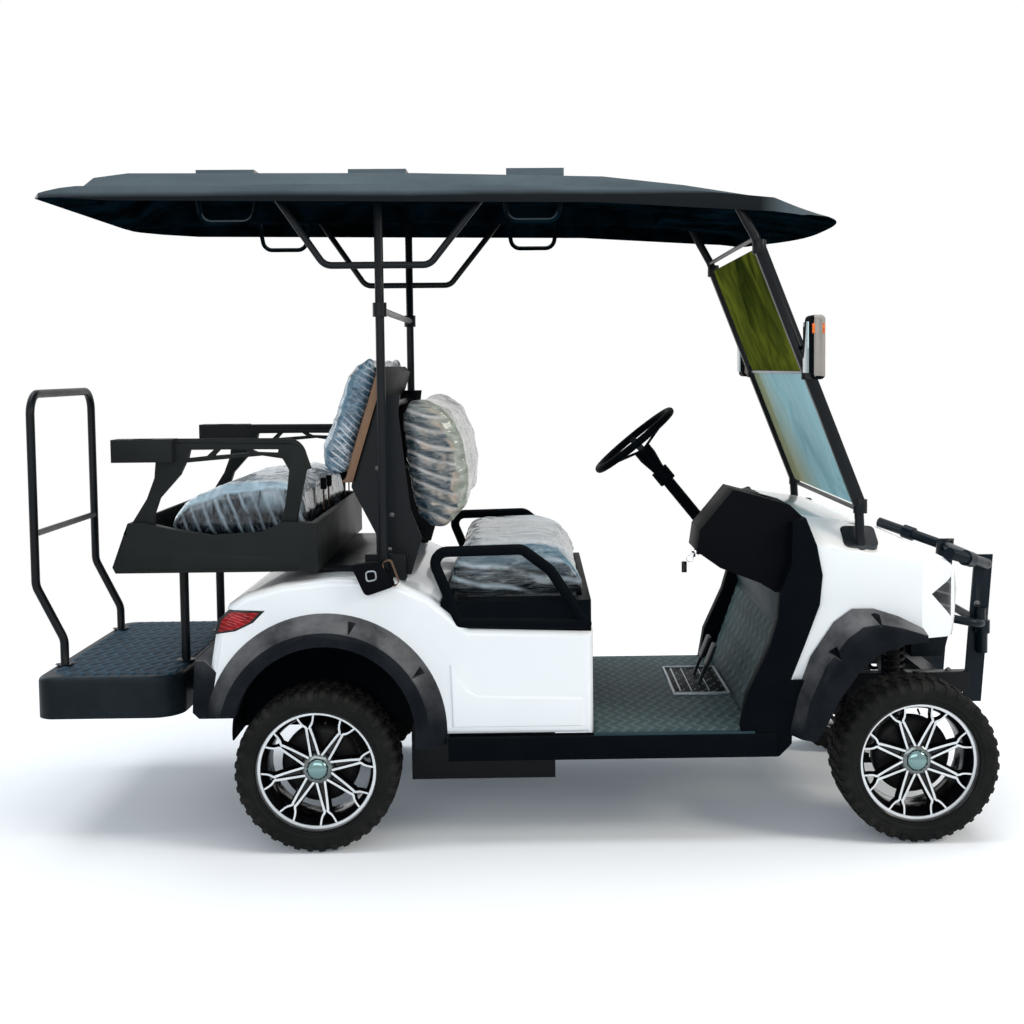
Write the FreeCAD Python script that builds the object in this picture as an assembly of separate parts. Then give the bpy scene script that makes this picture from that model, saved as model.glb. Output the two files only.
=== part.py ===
import FreeCAD, Part
import math
import os

# Golf cart with a front bench, a rear bench over a footrest deck and a long canopy.
# Millimetres. X points forward, Y to the left, Z up, and the ground is at zero height.
# Everything is modelled about the middle of the wheelbase and moved at the end so that
# the origin is on the ground below the middle of the overall length.

# Overall sizes
wheelbase = 1910.0
front_overhang = 357.0
rear_overhang = 976.0
body_half_width = 565.0
body_wall = 5.0
fit_gap = 0.3
running_gap = 5.0
overrun = 20.0

# Wheels and tyres
tyre_radius = 260.0
tyre_half_width = 102.5
tread_half_width = 92.0
tread_shoulder = 14.0
bead_half_width = 86.0
bead_radius = 178.0
wheel_inset = 52.5
rim_flange_radius = 194.0
rim_lip = 8.0
rim_wall = 6.0
rim_ring_width = 11.0
spoke_count = 8
spoke_thickness = 16.0
spoke_width = 11.0
spoke_pair_gap = 9.0
spoke_face_offset = 66.0
spoke_hub_offset = 44.0
wheel_hub_radius = 46.0
cap_radius = 30.0
cap_height = 20.0
drum_radius = 96.0
drum_width = 44.0
spindle_radius = 15.0

# Front axle and steering
kingpin_inset = 132.5
kingpin_radius = 9.0
knuckle_radius = 20.0
knuckle_height = 118.0
yoke_radius = 22.0
yoke_thickness = 18.0
yoke_back_depth = 36.0
ear_clearance = 0.9
axle_beam_height = 44.0
axle_beam_depth = 56.0
steering_arm_length = 120.0
steering_arm_thickness = 12.0
steering_arm_width = 26.0
tie_rod_radius = 8.0
tie_rod_eye_radius = 14.0
tie_rod_pin_radius = 6.0
backing_plate_radius = 92.0
backing_plate_thickness = 5.0

# Rear axle, motor and battery
axle_tube_radius = 34.0
differential_radius = 92.0
differential_width = 150.0
motor_radius = 84.0
motor_length = 240.0
battery_length = 400.0
battery_half_width = 190.0
battery_height = 270.0
tray_depth = 175.0
tray_rear_offset = 265.0
tray_front_offset = 759.0
tray_wall = 4.0

# Chassis rails
rail_outer_y = 250.0
rail_width = 45.0
rail_height = 70.0
rail_high_z = 400.0
rail_kick_run = 130.0
rear_kick_offset = 255.0
front_kick_offset = 350.0
rail_front_offset = 272.0
rail_rear_offset = 378.0
cross_member_width = 60.0
cross_member_height = 44.0
deck_arm_y = 228.0
deck_arm_width = 40.0
deck_arm_height = 50.0
hitch_half_width = 60.0
hitch_thickness = 10.0
hitch_drop = 82.0
hitch_hole_radius = 5.5
hitch_spacing_y = 80.0
hitch_spacing_z = 50.0
hitch_hole_drop = 50.0

# Springs and dampers
leaf_thickness = 22.0
leaf_width = 44.0
leaf_front_reach = 320.0
leaf_rear_reach = 300.0
leaf_sag = 40.0
damper_y = 291.0
damper_radius = 19.0
damper_cup_radius = 34.0
damper_cup_thickness = 8.0
damper_top_z = 600.0
tower_half_depth = 34.0
tower_thickness = 10.0

# Floor and sills
sill_top_z = 355.0
sill_height = 75.0
sill_overhang = 15.0
sill_width = 50.0
sill_wall = 5.0
sill_rear_offset = 415.0
sill_front_offset = 449.0
floor_thickness = 8.0
floor_overhang = 13.0
toe_start_offset = 520.0
toe_rise = 310.0
toe_run = 110.0
toe_inset = 47.0
dash_base_z = 800.0

# Rear body
body_front_offset = 877.0
body_rear_offset = 350.0
body_top_z = 869.0
body_edge_radius = 28.0
arch_centre_offset = 30.0
arch_centre_z = 375.0
arch_radius = 298.0
body_tail_z = 500.0

# Front cowl
cowl_top_z = 1041.0
cowl_nose_offset = 165.0
cowl_rear_offset = 409.0
cowl_low_z = 525.0
shoulder_run = 115.0
shoulder_wall = 7.0
crease_depth = 4.0
crease_rise = 12.0
nose_corner_run = 150.0
nose_inset = 135.0
shield_inset = 45.0
shield_overhang = 10.0
shield_rear_offset = 596.0
shield_front_offset = 290.0
shield_top_z = 1043.0

# Dash
dash_wall = 5.0
dash_top_z = 1129.0
cup_radius = 38.0
cup_depth = 60.0
cup_offset = 470.0
low_cup_offset = 415.0
dash_pod_width = 230.0
dash_rear_offset = 697.0
dash_front_offset = 307.0
dash_foot_offset = 440.0

# Flares
flare_overhang = 55.0
flare_edge = 8.0
flare_lip_radius = 330.0
flare_pocket_depth = 40.0
flare_pocket_half_width = 15.0
flare_inner_radius = 285.0
flare_outer_radius = 383.0
flare_tail_z = 440.0
flare_foot_z = 332.0
front_flare_rear_offset = 417.0
front_flare_front_offset = 20.0
front_flare_low_z = 335.0
front_flare_top_z = 751.0

# Seats
seat_half_width = 490.0
front_cushion_rear_offset = 395.0
front_cushion_front_offset = 872.0
front_cushion_bottom_z = 788.0
front_cushion_top_z = 948.0
seat_frame_wall = 24.0
hip_rail_gap = 62.0
back_half_width = 475.0
back_plate_y = 430.0
back_plate_thickness = 8.0
rear_cushion_half_width = 480.0
seat_box_half_width = 560.0
seat_box_wall = 40.0
seat_box_floor = 6.0
seat_box_low_z = 890.0
seat_box_top_z = 1048.0
seat_box_rear_offset = 631.0
seat_box_front_offset = 12.0
rear_cushion_bottom_z = 990.0
rear_cushion_top_z = 1165.0
seat_post_radius = 15.0
seat_post_y = 260.0
seat_post_offset = 485.0
arm_thickness = 30.0
arm_tube_radius = 13.0
arm_bend = 46.0
arm_inset = 39.0
front_back_rear_offset = 271.0
front_back_depth = 209.0
front_back_low_z = 980.0
front_back_height = 479.0
rear_back_rear_offset = 11.0
rear_back_depth = 191.0
rear_back_low_z = 1161.0
rear_back_height = 433.0
board_rear_offset = 93.0
board_depth = 129.0
board_height = 377.0
board_half_width = 460.0
bracket_rear_offset = 105.0
bracket_depth = 225.0
bracket_height = 572.0
bracket_bar_radius = 12.0
retractor_length = 130.0
retractor_height = 64.0
hip_rail_low_z = 688.0
hip_rail_height = 293.0
hip_rail_radius = 17.0
hip_rail_bend = 38.0
rear_cushion_rear_offset = 492.0
rear_cushion_length = 472.0
box_end_wall = 24.0
box_band_depth = 4.0
ledge_width = 62.0
ledge_height = 24.0
arm_pad_width = 78.0
arm_top_z = 1312.0
cup_box_length = 188.0
cup_box_height = 71.0
arm_rear_offset = 613.0
arm_front_offset = 18.0

# Footrest deck and grab bar
deck_half_width = 490.0
deck_rear_offset = 916.0
deck_front_offset = 450.0
deck_top_z = 545.0
deck_height = 135.0
deck_wall = 6.0
deck_rear_corner = 60.0
deck_front_corner = 95.0
deck_edge_radius = 18.0
grab_half_width = 310.0
grab_radius = 14.0
grab_top_z = 1465.0
grab_bar_z = 988.0
grab_bend = 70.0
grab_foot_radius = 26.0
grab_foot_thickness = 8.0
grab_foot_run = 88.0
grab_foot_rise = 90.0

# Canopy and its frames
roof_overhang = 20.0
roof_rear_offset = 869.0
roof_front_offset = 180.0
roof_edge_z = 2091.0
roof_wall = 5.0
roof_corner = 120.0
roof_deck_half_width = 400.0
roof_deck_height = 62.0
roof_deck_rear_offset = 760.0
roof_pad_height = 26.0
roof_pad_length = 190.0
roof_pad_half_width = 300.0
roof_handle_radius = 8.0
roof_handle_y = 500.0
roof_handle_length = 194.0
roof_handle_low_z = 1986.0
roof_handle_bend = 36.0
rear_handle_offset = -355.0
front_handle_offset = 603.0
post_radius = 14.0
post_inset = 35.0
post_offset = 217.0
post_foot_radius = 30.0
trapezoid_radius = 11.0
trapezoid_low_z = 1848.0
clamp_z = 1709.0
clamp_radius = 22.0
clamp_height = 44.0
pillar_radius = 15.0
pillar_inset = 25.0
pillar_top_offset = 515.0
pillar_top_z = 1990.0
pillar_knee_offset = 185.0
pillar_knee_z = 1090.0
pillar_foot_z = 975.0
pillar_foot_run = 9.0
pillar_pad_length = 110.0
pillar_pad_width = 100.0
pillar_pad_height = 12.0
pillar_pad_corner = 20.0
channel_depth = 40.0
channel_inset = 2.0
glass_thickness = 5.0
glass_top_z = 1895.0
glass_split_z = 1500.0
glass_low_z = 1075.0
glass_gap = 6.0
roof_height = 103.0
roof_deck_front_setback = 330.0
trapezoid_rear_top = -163.0
trapezoid_rear_low = 47.0
trapezoid_front_low = 376.0
trapezoid_front_top = 620.0

# Mirrors
mirror_reach = 130.0
mirror_half_width = 55.0
mirror_height = 196.0
mirror_depth = 46.0
mirror_z = 1578.0
mirror_offset = 352.0
mirror_stalk_radius = 7.0

# Steering column and wheel
column_y = 280.0
column_radius = 22.0
column_drop_deg = 51.0
column_length = 520.0
collar_start = 145.0
collar_length = 56.0
collar_radius = 33.0
wheel_ring_radius = 172.0
wheel_ring_tube = 14.0
steering_wheel_offset = 835.0
steering_wheel_z = 1248.0
steering_hub_radius = 34.0
steering_hub_height = 34.0
steering_dish = 46.0
steering_spoke_width = 26.0
steering_spoke_thickness = 9.0

# Pedals
pedal_plate_length = 200.0
pedal_plate_half_width = 215.0
pedal_plate_thickness = 5.0
pedal_plate_y = 117.0
pedal_plate_offset = 630.0
pedal_arm_width = 16.0
pedal_pad_width = 70.0
pedal_height = 150.0
pedal_lean = 60.0
pedal_thickness = 12.0
brake_pedal_y = 60.0
throttle_pedal_y = 210.0

# Guard and bumpers
guard_plate_y = 215.0
guard_plate_thickness = 12.0
guard_plate_width = 62.0
guard_low_z = 360.0
guard_top_z = 870.0
guard_lean = 36.0
guard_tube_radius = 19.0
guard_collar_radius = 26.0
guard_collar_length = 44.0
guard_stub_low_z = 534.0
guard_stub_top_z = 690.0
guard_wing_y = 450.0
guard_wing_run = 190.0
guard_wing_rise = 66.0
guard_hoop_z = 640.0
front_bumper_half_width = 300.0
front_bumper_low_z = 536.0
front_bumper_top_z = 636.0
front_bumper_depth = 110.0
bumper_rear_offset = 391.0
bumper_low_z = 425.0
bumper_top_z = 610.0
bumper_wall = 5.0
bumper_wrap = 100.0

# Lamps
lamp_depth = 60.0
tail_lamp_rear_offset = 32.0
tail_lamp_length = 162.0
tail_lamp_low_z = 694.0
tail_lamp_height = 78.0
headlamp_rear_offset = 52.0
headlamp_length = 84.0
headlamp_z = 790.0
headlamp_rise = 46.0
headlamp_drop = 86.0

# Derived stations
rear_axle_x = -wheelbase / 2
front_axle_x = wheelbase / 2
axle_z = tyre_radius
middle_x = (rear_overhang - front_overhang) / 2
shield_inner_y = body_half_width - shield_inset
shield_outer_y = body_half_width + shield_overhang
sill_outer_y = body_half_width + sill_overhang
floor_half_width = body_half_width + floor_overhang
toe_half_width = body_half_width - toe_inset
dash_half_width = shield_inner_y - fit_gap
flare_outer_y = body_half_width + flare_overhang
hip_rail_y = seat_half_width + hip_rail_gap
shoulder_y = body_half_width - shoulder_run
pod_inner_y = dash_pod_width - dash_half_width
pod_cup_y = dash_half_width - dash_pod_width / 2
nose_half_width = body_half_width - nose_inset
post_y = body_half_width - post_inset
pillar_y = body_half_width - pillar_inset
wheel_centre_y = body_half_width - wheel_inset
kingpin_y = wheel_centre_y - kingpin_inset
roof_half_width = body_half_width + roof_overhang
arm_inner_y = seat_box_half_width - arm_inset
mirror_y = pillar_y + mirror_reach
spindle_tip_y = wheel_centre_y + spoke_hub_offset - running_gap
drum_back_y = wheel_centre_y - drum_width
rail_low_z = sill_top_z - rail_height
rail_inner_y = rail_outer_y - rail_width
rail_rear_x = rear_axle_x - rail_rear_offset
rail_front_x = front_axle_x + rail_front_offset
deck_skin_z = deck_top_z - deck_wall
deck_rear_x = rear_axle_x - deck_rear_offset
deck_front_x = rear_axle_x - deck_front_offset
tray_rear_x = rear_axle_x + tray_rear_offset
tray_front_x = rear_axle_x + tray_front_offset
sill_rear_x = rear_axle_x + sill_rear_offset
sill_front_x = front_axle_x - sill_front_offset
tray_low_z = rail_low_z - tray_depth + tray_wall
toe_start_x = front_axle_x - toe_start_offset
body_front_x = rear_axle_x + body_front_offset
body_rear_x = rear_axle_x - body_rear_offset
floor_top_z = sill_top_z + floor_thickness
tyre_inner_y = wheel_centre_y - tyre_half_width
cushion_rear_x = rear_axle_x + front_cushion_rear_offset
cushion_front_x = rear_axle_x + front_cushion_front_offset
box_rear_x = rear_axle_x - seat_box_rear_offset
box_front_x = rear_axle_x + seat_box_front_offset
roof_rear_x = rear_axle_x - roof_rear_offset
roof_front_x = front_axle_x - roof_front_offset
roof_pad_shares = (0.21, 0.44, 0.68)
column_angle = math.radians(column_drop_deg)
column_axis = FreeCAD.Vector(math.cos(column_angle), 0, -math.sin(column_angle))
steering_centre = FreeCAD.Vector(front_axle_x - steering_wheel_offset, column_y, steering_wheel_z)

# Shares of a length and a height, measured from the rear lower corner of each outline
rear_body_side_shares = [(0.0, 0.28), (0.09, 0.28), (0.09, 0.0), (1.0, 0.0), (1.0, 0.655),
                         (0.68, 0.68), (0.58, 0.875), (0.48, 0.985), (0.33, 1.0),
                         (0.2, 0.967), (0.108, 0.908), (0.064, 0.842), (0.03, 0.69)]
cowl_side_shares = [(0.087, 1.0), (0.416, 0.944), (0.702, 0.824), (0.902, 0.725), (0.979, 0.645),
                    (1.0, 0.514), (0.986, 0.339), (0.962, 0.227), (0.774, 0.242), (0.617, 0.306),
                    (0.481, 0.302), (0.364, 0.252), (0.26, 0.126), (0.19, 0.0), (0.005, 0.0),
                    (0.084, 0.219), (0.166, 0.467), (0.181, 0.651), (0.148, 0.837)]
cowl_crease_shares = [(0.051, 0.855), (0.289, 0.804), (0.564, 0.752), (0.908, 0.682),
                      (1.052, 0.653)]
cowl_top_shares = [(0.051, 1.008), (0.289, 0.965), (0.564, 0.884), (0.908, 0.723), (1.052, 0.562)]
cowl_step_shares = [(0.024, 0.56), (0.167, 0.539), (0.289, 0.51), (0.42, 0.471), (0.584, 0.405),
                    (0.747, 0.283), (0.826, 0.223), (0.826, -0.048), (0.024, -0.048)]
body_step_shares = [(0.626, 0.461), (0.637, 0.37), (0.671, 0.296), (0.701, 0.267), (0.914, 0.251),
                    (0.976, 0.249), (0.976, 0.058), (0.632, 0.058)]
body_step_face_shares = [(0.634, 0.447), (0.644, 0.36), (0.677, 0.278), (0.705, 0.245),
                         (0.914, 0.23), (0.969, 0.228), (0.969, 0.066), (0.638, 0.066)]
shield_side_shares = [(0.451, 0.0), (0.5, 0.0), (0.631, 0.052), (0.644, 0.157), (0.722, 0.249),
                      (0.807, 0.32), (0.621, 0.321), (0.768, 0.471), (0.922, 0.637),
                      (0.951, 0.761), (0.889, 0.887), (0.775, 1.0), (0.64, 0.98), (0.63, 0.81),
                      (0.51, 0.68), (0.49, 0.58), (0.41, 0.47), (0.17, 0.26), (0.1, 0.1),
                      (0.45, 0.1)]
dash_side_shares = [(0.297, 1.0), (0.026, 0.614), (0.0, 0.401), (0.19, 0.24), (0.518, 0.088),
                    (0.64, 0.0), (0.97, 0.0), (1.0, 0.185), (0.951, 0.477), (0.861, 0.739),
                    (0.764, 0.848), (0.518, 0.93)]
dash_low_shares = [(0.569, 0.729), (0.377, 0.486), (0.359, 0.289), (0.467, 0.137), (0.638, 0.0),
                   (0.969, 0.0), (1.0, 0.185), (0.951, 0.477), (0.862, 0.729)]
front_back_shares = [(0.0, 0.96), (0.31, 1.0), (0.61, 0.925), (0.904, 0.658), (1.0, 0.388),
                     (0.933, 0.152), (0.684, 0.0), (0.344, 0.0), (0.1, 0.392)]
rear_back_shares = [(0.91, 1.0), (0.53, 0.82), (0.27, 0.54), (0.04, 0.24), (0.0, 0.06), (0.2, 0.0),
                    (0.41, 0.02), (0.6, 0.31), (0.82, 0.61), (1.0, 0.87)]
rear_board_shares = [(-0.12, 0.0), (0.16, 0.0), (1.0, 0.93), (0.8, 1.0)]
seat_box_side_shares = [(0.08, 1.0), (0.0, 0.12), (0.015, 0.0), (1.0, 0.0), (1.0, 0.96), (0.84, 1.0),
                        (0.72, 0.78), (0.48, 0.73), (0.28, 0.88), (0.16, 1.0)]
seat_tray_shares = [(0.08, 1.0), (0.0, 0.12), (0.015, 0.0), (1.0, 0.0), (1.0, 0.96)]
box_band_shares = [(0.059, 0.823), (0.121, 0.462), (0.834, 0.323), (0.911, 0.323), (0.911, 0.057),
                   (0.031, 0.057)]
box_band_face_shares = [(0.065, 0.747), (0.128, 0.386), (0.834, 0.253), (0.899, 0.253),
                        (0.899, 0.082), (0.044, 0.082)]
arm_side_shares = [(0.034, 0.0), (0.158, 0.382), (0.2, 0.595), (0.21, 0.796), (0.299, 0.947),
                   (0.933, 0.928), (0.98, 0.862), (1.0, 0.704), (0.924, 0.0), (0.844, 0.0),
                   (0.887, 0.336), (0.908, 0.664), (0.874, 0.783), (0.77, 0.816), (0.363, 0.75),
                   (0.331, 0.622), (0.22, 0.382), (0.187, 0.201), (0.202, 0.0)]
arm_tube_shares = [(0.282, 0.957), (0.955, 0.951), (1.002, 0.664)]
arm_window_shares = [
    [(0.387, 0.882), (0.514, 0.882), (0.477, 0.816), (0.376, 0.796)],
    [(0.545, 0.882), (0.676, 0.882), (0.703, 0.845), (0.514, 0.819)],
    [(0.706, 0.882), (0.854, 0.878), (0.85, 0.842), (0.739, 0.852)],
]
bracket_side_shares = [(0.345, -0.02), (0.84, -0.02), (1.0, 0.187), (0.84, 0.35), (0.69, 0.9),
                       (0.72, 1.0), (0.3, 1.0), (0.19, 0.975), (0.0, 0.48), (0.345, 0.21)]
bracket_bar_shares = [(0.45, 0.93), (0.45, 0.5), (0.6, 0.08)]
hip_rail_shares = [(0.206, 0.109), (0.03, 0.877), (0.587, 0.898), (0.754, 0.672), (0.971, 0.082)]
front_flare_outer_shares = [(0.0, 0.04), (0.067, 0.34), (0.17, 0.635), (0.34, 0.9), (0.47, 1.0),
                            (0.63, 1.0), (0.81, 0.94), (1.0, 0.84)]
flare_pocket_turns = (33, 76)
guard_collar_share = 0.4
front_pocket_shares = [(0.37, 0.63), (0.66, 0.88)]
front_flare_lip_shares = [(0.085, 0.024), (0.142, 0.305), (0.256, 0.577), (0.416, 0.793),
                          (0.531, 0.882), (0.657, 0.901), (0.817, 0.87), (1.0, 0.81)]
front_flare_inner_shares = [(1.0, 0.76), (0.83, 0.74), (0.65, 0.67), (0.51, 0.54), (0.365, 0.33),
                            (0.256, 0.1), (0.19, 0.0)]
front_cushion_shares = [(0.0, 0.0), (1.0, 0.0), (0.995, 0.25), (0.93, 0.62), (0.84, 0.85), (0.68, 1.0),
                        (0.2, 0.96), (0.06, 0.88), (0.03, 0.5)]
rear_cushion_shares = [(0.0, 0.0), (0.985, 0.0), (1.0, 0.4), (0.97, 0.84), (0.86, 1.0), (0.62, 1.0),
                       (0.36, 0.93), (0.1, 0.6), (0.0, 0.3)]
roof_skin_shares = [(1.0, 0.05), (0.96, 0.24), (0.895, 0.5), (0.8, 0.73), (0.68, 0.874), (0.42, 1.0),
                    (0.065, 0.98), (0.025, 0.87), (0.0, 0.76)]
roof_rim_shares = [(0.01, 0.7), (0.1, 0.55), (0.37, 0.5), (0.68, 0.4), (0.855, 0.14), (0.97, 0.0)]
roof_deck_shares = [(0.0, 0.0), (0.03, 0.8), (0.08, 1.0), (0.5, 0.93), (0.78, 0.72), (0.9, 0.3), (1.0, -0.2)]


tail_lamp_shares = [(0.0, 0.0), (0.09, 0.6), (0.3, 1.0), (1.0, 0.94), (0.76, 0.45), (0.42, 0.12)]
spoke_turns = (90, 210, 330)


def vec(x, y, z):
    """A point or direction."""
    return FreeCAD.Vector(x, y, z)


def spread(shares, x_from, x_to, z_from, z_to):
    """Turn shares of a length and a height into points of a side outline."""
    return [(x_from + u * (x_to - x_from), z_from + w * (z_to - z_from)) for u, w in shares]


def z_on(points, x):
    """The height of an outline's run of rising x at one x."""
    for (x_from, z_from), (x_to, z_to) in zip(points, points[1:]):
        if x_from <= x <= x_to:
            return z_from + (z_to - z_from) * (x - x_from) / (x_to - x_from)
    return points[-1][1]


def side_face(points, y):
    """A flat face in a plane across the cart, from points given as (x, z)."""
    corners = [vec(x, y, z) for x, z in points]
    return Part.Face(Part.makePolygon(corners + corners[:1]))


def slab(points, y_from, y_to):
    """A side outline given thickness from one Y to another."""
    return side_face(points, y_from).extrude(vec(0, y_to - y_from, 0))


def plan_slab(points, z_from, z_to):
    """A plan outline of (x, y) points given height from one Z to another."""
    corners = [vec(x, y, z_from) for x, y in points]
    return Part.Face(Part.makePolygon(corners + corners[:1])).extrude(vec(0, 0, z_to - z_from))


def lofted(first, y_first, second, y_second):
    """A straight-sided solid between two side outlines with as many points."""
    wires = [Part.makePolygon([vec(x, y, z) for x, z in points + points[:1]])
             for points, y in ((first, y_first), (second, y_second))]
    return Part.makeLoft(wires, True, True)


def cross_slab(points, x_from, x_to):
    """A cross-section of (y, z) points given length from one X to another."""
    corners = [vec(x_from, y, z) for y, z in points]
    return Part.Face(Part.makePolygon(corners + corners[:1])).extrude(vec(x_to - x_from, 0, 0))


def block(x_from, x_to, y_from, y_to, z_from, z_to):
    """A block between two corners."""
    return Part.makeBox(x_to - x_from, y_to - y_from, z_to - z_from, vec(x_from, y_from, z_from))


def rod(start, end, radius):
    """A round bar from one point to another."""
    run = end - start
    return Part.makeCylinder(radius, run.Length, start, run)


def mirrored(shape):
    """The same shape on the other side of the cart."""
    return shape.mirror(vec(0, 0, 0), vec(0, 1, 0))


def fused(shapes):
    """One solid made of several that meet."""
    result = shapes[0].fuse(shapes[1:])
    return result.removeSplitter()


def group(shapes):
    """Several solids kept apart in one sub-part."""
    return Part.makeCompound(shapes)


def cut_by(shape, others):
    """A shape with its neighbours taken out of it."""
    for other in others:
        shape = shape.cut(other)
    return shape


def main_piece(shape):
    """The largest solid of a shape."""
    return max(shape.Solids, key=lambda solid: solid.Volume)


def inset(points, y, wall):
    """A side outline drawn in by a wall thickness, as a face."""
    return side_face(points, y).makeOffset2D(-wall)


def shell_slab(points, half_width, wall):
    """A hollow moulding of one side outline with closed walls all round."""
    outer = slab(points, -half_width, half_width)
    core = inset(points, -half_width + wall, wall).extrude(vec(0, 2 * (half_width - wall), 0))
    return outer.cut(core)


def bent_path(points, bend):
    """Straight runs joined by arcs of one bend radius."""
    edges = []
    start = points[0]
    for before, corner, after in zip(points, points[1:], points[2:]):
        inward = (corner - before).normalize()
        onward = (after - corner).normalize()
        turn = inward.getAngle(onward)
        reach = bend * math.tan(turn / 2)
        arc_start = corner - inward * reach
        arc_end = corner + onward * reach
        middle = (onward - inward).normalize()
        arc_middle = corner + middle * (bend / math.cos(turn / 2) - bend)
        edges.append(Part.LineSegment(start, arc_start).toShape())
        edges.append(Part.Arc(arc_start, arc_middle, arc_end).toShape())
        start = arc_end
    edges.append(Part.LineSegment(start, points[-1]).toShape())
    return Part.Wire(edges)


def bent_tube(points, radius, bend):
    """A round tube along straight runs and bends."""
    path = bent_path(points, bend)
    direction = points[1] - points[0]
    profile = Part.Wire(Part.makeCircle(radius, points[0], direction))
    return path.makePipeShell([profile], True, True)


def outline_slab(points, half_width, radius):
    """A side outline across the cart whose two end faces have rounded rims."""
    shape = slab(points, -half_width, half_width)
    rims = [edge for edge in shape.Edges
            if abs(abs(edge.BoundBox.YMin) - half_width) < fit_gap
            and abs(edge.BoundBox.YMin - edge.BoundBox.YMax) < fit_gap]
    return shape.makeFillet(radius, rims)


# Wheels

def make_tyre(centre_x, side):
    """A plain tyre with rounded shoulders and a seat for the rim."""
    half = [(bead_radius, bead_half_width), (rim_flange_radius + rim_lip / 2, bead_half_width),
            ((rim_flange_radius + tyre_radius) / 2, tyre_half_width),
            (tyre_radius - tread_shoulder, tyre_half_width - tread_shoulder / 4),
            (tyre_radius, tread_half_width)]
    points = half + [(radius, -reach) for radius, reach in reversed(half)]
    corners = [vec(radius, reach, 0) for radius, reach in points]
    profile = Part.Face(Part.makePolygon(corners + corners[:1]))
    solid = profile.revolve(vec(0, 0, 0), vec(0, 1, 0), 360)
    solid.translate(vec(centre_x, side * wheel_centre_y, axle_z))
    return solid


def make_spoke(angle_share):
    """Two thin ribs that leave the hub together and part at the outer ring."""
    tip = bead_radius - rim_wall
    fork = tip - rim_flange_radius / 4
    ribs = []
    for sign in (-1, 1):
        inner = sign * spoke_pair_gap / 2
        outer = sign * (spoke_pair_gap / 2 + spoke_width)
        splay = sign * spoke_pair_gap
        flat = [(0, inner), (fork, inner + splay / 2), (tip, inner + 2 * splay),
                (tip, outer + 2 * splay), (fork, outer + splay / 2), (0, outer)]
        corners = [vec(along, -spoke_thickness, across) for along, across in flat]
        rib = Part.Face(Part.makePolygon(corners + corners[:1])).extrude(vec(0, spoke_thickness, 0))
        ribs.append(rib)
    pair = ribs[0].fuse(ribs[1])
    pair.rotate(vec(0, 0, 0), vec(0, 1, 0), 360 * angle_share)
    pair.translate(vec(0, spoke_face_offset, 0))
    return pair


def make_rim(centre_x, side):
    """A rim barrel with twin-rib spokes, a hub with its cap, and the brake drum behind."""
    barrel_points = [(bead_radius - rim_wall, -bead_half_width - rim_lip),
                     (rim_flange_radius, -bead_half_width - rim_lip),
                     (rim_flange_radius, -bead_half_width), (bead_radius, -bead_half_width),
                     (bead_radius, bead_half_width), (rim_flange_radius, bead_half_width),
                     (rim_flange_radius, bead_half_width + rim_lip),
                     (bead_radius - rim_wall, bead_half_width + rim_lip)]
    corners = [vec(radius, reach, 0) for radius, reach in barrel_points]
    barrel = Part.Face(Part.makePolygon(corners + corners[:1])).revolve(vec(0, 0, 0), vec(0, 1, 0), 360)
    ring_radius = bead_radius - rim_wall
    ring = Part.makeCylinder(ring_radius + rim_wall / 2, spoke_thickness,
                             vec(0, spoke_face_offset - spoke_thickness, 0), vec(0, 1, 0))
    ring = ring.cut(Part.makeCylinder(ring_radius - rim_ring_width, spoke_thickness,
                                      vec(0, spoke_face_offset - spoke_thickness, 0), vec(0, 1, 0)))
    hub_start = -drum_width
    hub = Part.makeCylinder(wheel_hub_radius, spoke_face_offset - hub_start, vec(0, hub_start, 0),
                            vec(0, 1, 0))
    drum = Part.makeCylinder(drum_radius, drum_width, vec(0, hub_start, 0), vec(0, 1, 0))
    cap = Part.makeCone(cap_radius, cap_radius / 2, cap_height, vec(0, spoke_face_offset, 0), vec(0, 1, 0))
    spokes = [make_spoke(index / spoke_count) for index in range(spoke_count)]
    rim = fused([barrel, ring, hub, drum, cap] + spokes)
    bore = Part.makeCylinder(spindle_radius + fit_gap, spoke_hub_offset - hub_start,
                             vec(0, hub_start, 0), vec(0, 1, 0))
    rim = rim.cut(bore)
    if side < 0:
        rim = rim.mirror(vec(0, 0, 0), vec(0, 1, 0))
    rim.translate(vec(centre_x, side * wheel_centre_y, axle_z))
    return rim


def make_knuckle(side):
    """A steering knuckle with its kingpin barrel, spindle, backing plate and steering arm."""
    barrel = Part.makeCylinder(knuckle_radius, knuckle_height,
                               vec(front_axle_x, side * kingpin_y, axle_z - knuckle_height / 2))
    spindle = rod(vec(front_axle_x, side * kingpin_y, axle_z),
                  vec(front_axle_x, side * spindle_tip_y, axle_z), spindle_radius)
    plate_y = drum_back_y - running_gap - backing_plate_thickness
    plate = rod(vec(front_axle_x, side * plate_y, axle_z),
                vec(front_axle_x, side * (plate_y + backing_plate_thickness), axle_z), backing_plate_radius)
    arm_low = axle_z - knuckle_height / 2
    arm = block(front_axle_x - steering_arm_length, front_axle_x,
                side * kingpin_y - steering_arm_width / 2, side * kingpin_y + steering_arm_width / 2,
                arm_low, arm_low + steering_arm_thickness)
    eye = Part.makeCylinder(steering_arm_width / 2, steering_arm_thickness,
                            vec(front_axle_x - steering_arm_length, side * kingpin_y, arm_low))
    pin = Part.makeCylinder(tie_rod_pin_radius, 2 * tie_rod_radius + steering_arm_thickness,
                            vec(front_axle_x - steering_arm_length, side * kingpin_y, arm_low))
    solid = fused([barrel, spindle, plate, arm, eye, pin])
    bore = Part.makeCylinder(kingpin_radius + fit_gap, knuckle_height + 2 * overrun,
                             vec(front_axle_x, side * kingpin_y, axle_z - knuckle_height / 2 - overrun))
    return solid.cut(bore)


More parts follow.
